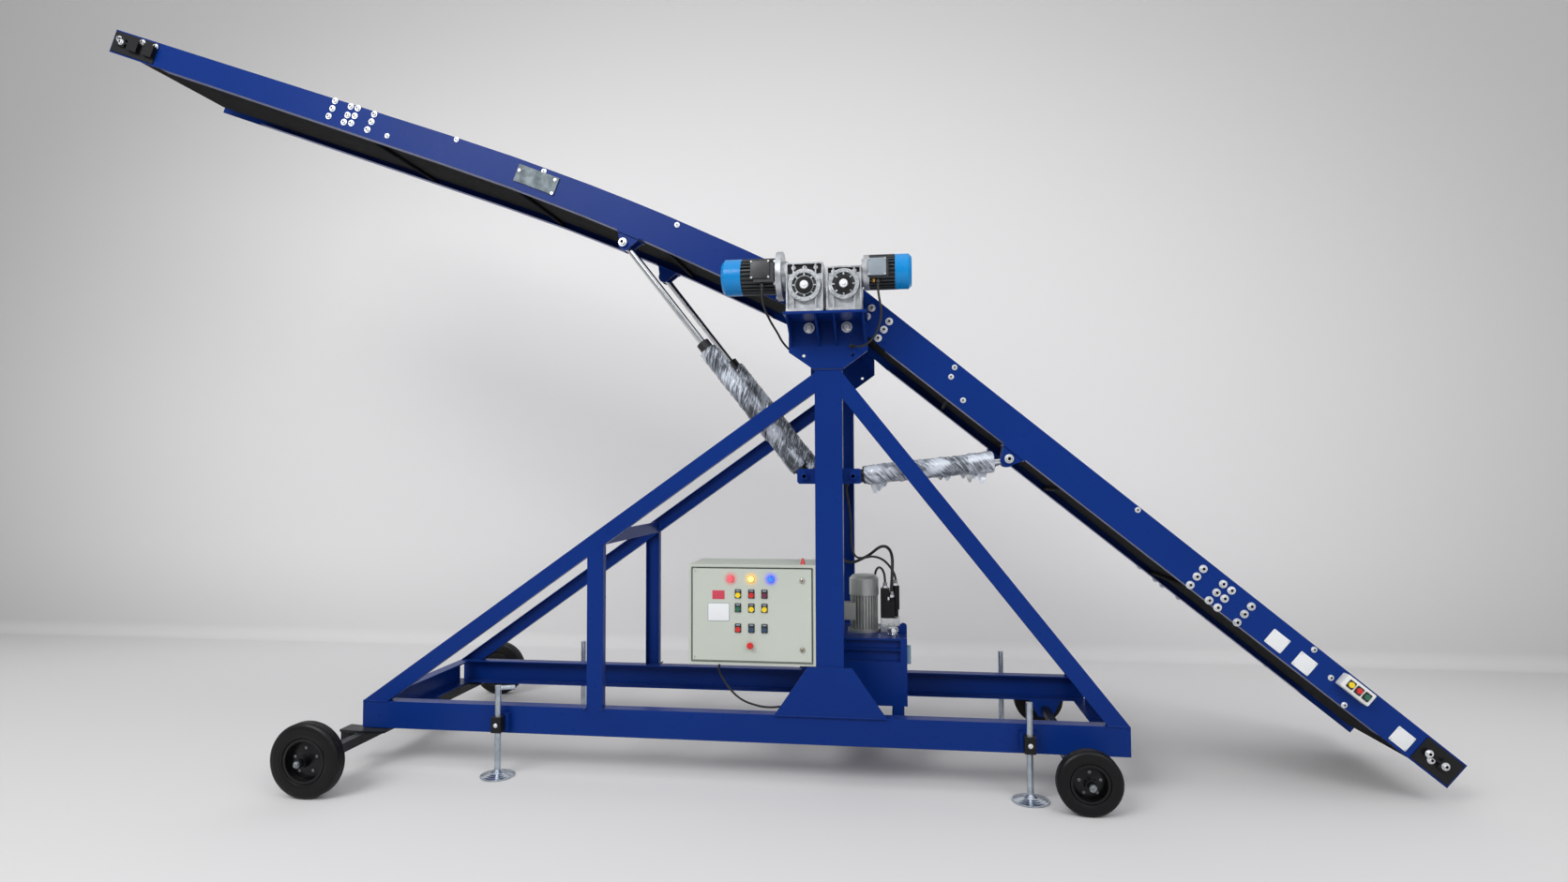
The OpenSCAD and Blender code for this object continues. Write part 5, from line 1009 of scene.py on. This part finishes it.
for x, y, z in ((0.278, -0.014, 0.8004), (0.298, 0.047, 0.8524), (0.245, 0.0, 0.8444), (0.19, 0.106, 0.646)):
    spot = framed((mast_x + x, y, z), (0, 0, 1))
    turned_part(fittings, nut_profile, spot, 6)
    turned_part(fittings, ferrule_profile, spot, 24)
made_of("hose_fittings", fittings, chrome, "frame", "zinc")
filler_profile = mm((0, 0), (28, 0), (28, 8), (21, 10), (21, 18), (27, 20), (27, 34), (24, 38), (0, 38))
filler_at = framed((0.9099, -0.12, tank_top), (0, 0, 1))
turned_piece("filler_breather", filler_profile, filler_at, 40, chrome, "frame", "zinc")
gauge_at = framed((0.9789, 0.0, 0.5085), (1, 0, 0), (0, 1, 0))
gauge_tint = finish_of("gauge_tint", (150, 186, 206), (120, 160, 186), 0.2, coat=0.5, dust=0.04)
flat_piece("level_gauge", (0.030, 0.093, 0.006), gauge_at, 0.0, 0.020, 0.002, gauge_tint, "frame",
           "control_plastic")


# Cables and hoses: black sheathed cables from the cabinet and the motors, and rubber hoses from
# the valves to the cross tube. Routes are in millimetres from the mast's foot, in easy bends.
sheath = finish_of("cable_sheath", (34, 33, 33), (25, 25, 25), 0.46, cloud=30.0, dust=0.12, relief=0.1)
hose_rubber = finish_of("hose_rubber", (28, 28, 29), (20, 20, 21), 0.4, cloud=30.0, dust=0.12, relief=0.14)
routes = {
    "cabinet_cable": (0.010, sheath, [
        (-543, -380, 524), (-544, -380, 493), (-533, -380, 464), (-518, -380, 438), (-500, -380, 413),
        (-480, -380, 390), (-457, -380, 369), (-431, -380, 352), (-403, -379, 339), (-374, -377, 330),
        (-344, -376, 323), (-313, -372, 319), (-284, -363, 317), (-256, -350, 317), (-232, -332, 318),
        (-212, -308, 321), (-196, -282, 325), (-185, -255, 332), (-180, -226, 342), (-171, -198, 351),
        (-152, -175, 357), (-126, -165, 360)]),
    "left_motor_cable": (0.010, sheath, [
        (-280, -692, 2271), (-280, -692, 2248), (-278, -682, 2210), (-270, -655, 2172), (-252, -604, 2128),
        (-232, -548, 2090), (-212, -492, 2050), (-178, -456, 2014), (-130, -448, 1985), (-70, -452, 1955),
        (-20, -462, 1908), (0, -470, 1850), (0, -470, 1800), (0, -470, 1765)]),
    "right_motor_cable": (0.010, sheath, [
        (240, -688, 2274), (240, -688, 2242), (244, -686, 2211), (249, -680, 2180), (252, -672, 2150),
        (249, -660, 2121), (242, -646, 2093), (231, -632, 2067), (216, -616, 2044), (195, -600, 2026),
        (172, -582, 2015), (146, -564, 2013), (123, -543, 2019), (112, -516, 2024)]),
    "pack_hose_a": (0.016, hose_rubber, [
        (278, -14, 800.4), (278, -14, 849), (281, -8, 897), (283, 2, 945), (283, 17, 992), (273, 43, 1030),
        (251, 82, 1049), (227, 124, 1047), (203, 164, 1033), (178, 199, 1011), (151, 234, 989),
        (123, 269, 971), (93, 304, 954), (58, 335, 941), (18, 361, 946), (-14, 378, 977), (-28, 381, 1023),
        (-27, 378, 1072), (-26, 374, 1121), (-25, 371, 1169), (-25, 367, 1218), (-25, 365, 1266),
        (-25, 365, 1315), (-25, 365, 1364)]),
    "pack_hose_b": (0.012, hose_rubber, [
        (298, 47, 852.4), (298, 47, 890), (284, 56, 927), (252, 78, 966), (217, 112, 986), (174, 160, 990),
        (129, 216, 978), (88, 280, 974), (62, 338, 1002), (52, 372, 1062), (50, 380, 1150), (40, 370, 1260),
        (28, 365, 1330), (28, 365, 1364)]),
    "pack_hose_c": (0.012, hose_rubber, [
        (190, 106, 646), (190, 106, 690), (190, 106, 735), (190, 106, 780), (190, 106, 820), (190, 106, 854),
        (190, 106, 884), (193.7, 98.9, 914), (203.8, 79.5, 935.7), (217.5, 53, 943.7), (231.2, 26.5, 935.7),
        (241.3, 7.1, 914), (245, 0, 884), (245, 0, 864), (245, 0, 844.4)])}


def smooth_line(points, steps=6):
    """The smooth line through a route's points, in metres in the model's frame."""
    p = [Vector((x / 1000 + mast_x, y / 1000, z / 1000)) for x, y, z in points]
    line = []
    for i in range(len(p) - 1):
        a, b, c, d = p[max(i - 1, 0)], p[i], p[i + 1], p[min(i + 2, len(p) - 1)]
        for k in range(steps):
            t = k / steps
            line.append(b + (c - a) * t / 2 + (2 * a - 5 * b + 4 * c - d) * t * t / 2
                        + (3 * b - a - 3 * c + d) * t ** 3 / 2)
    return line + [p[-1]]


for name, (diameter, material, points) in routes.items():
    line = smooth_line(points)
    curve = bpy.data.curves.new(name + "_run", "CURVE")
    curve.dimensions = "3D"
    curve.bevel_depth = diameter / 2
    curve.bevel_resolution = 4
    curve.use_fill_caps = True
    run = curve.splines.new("POLY")
    run.points.add(len(line) - 1)
    for point, at in zip(run.points, line):
        point.co = (*at, 1)
    run.use_smooth = True
    curve.materials.append(material)
    piece = show(name + "_run", curve)
    settle(piece, "frame", "belt_rubber", name)


# Sizes: the imported model's box and the dressed model's box.
low, high = cad_box
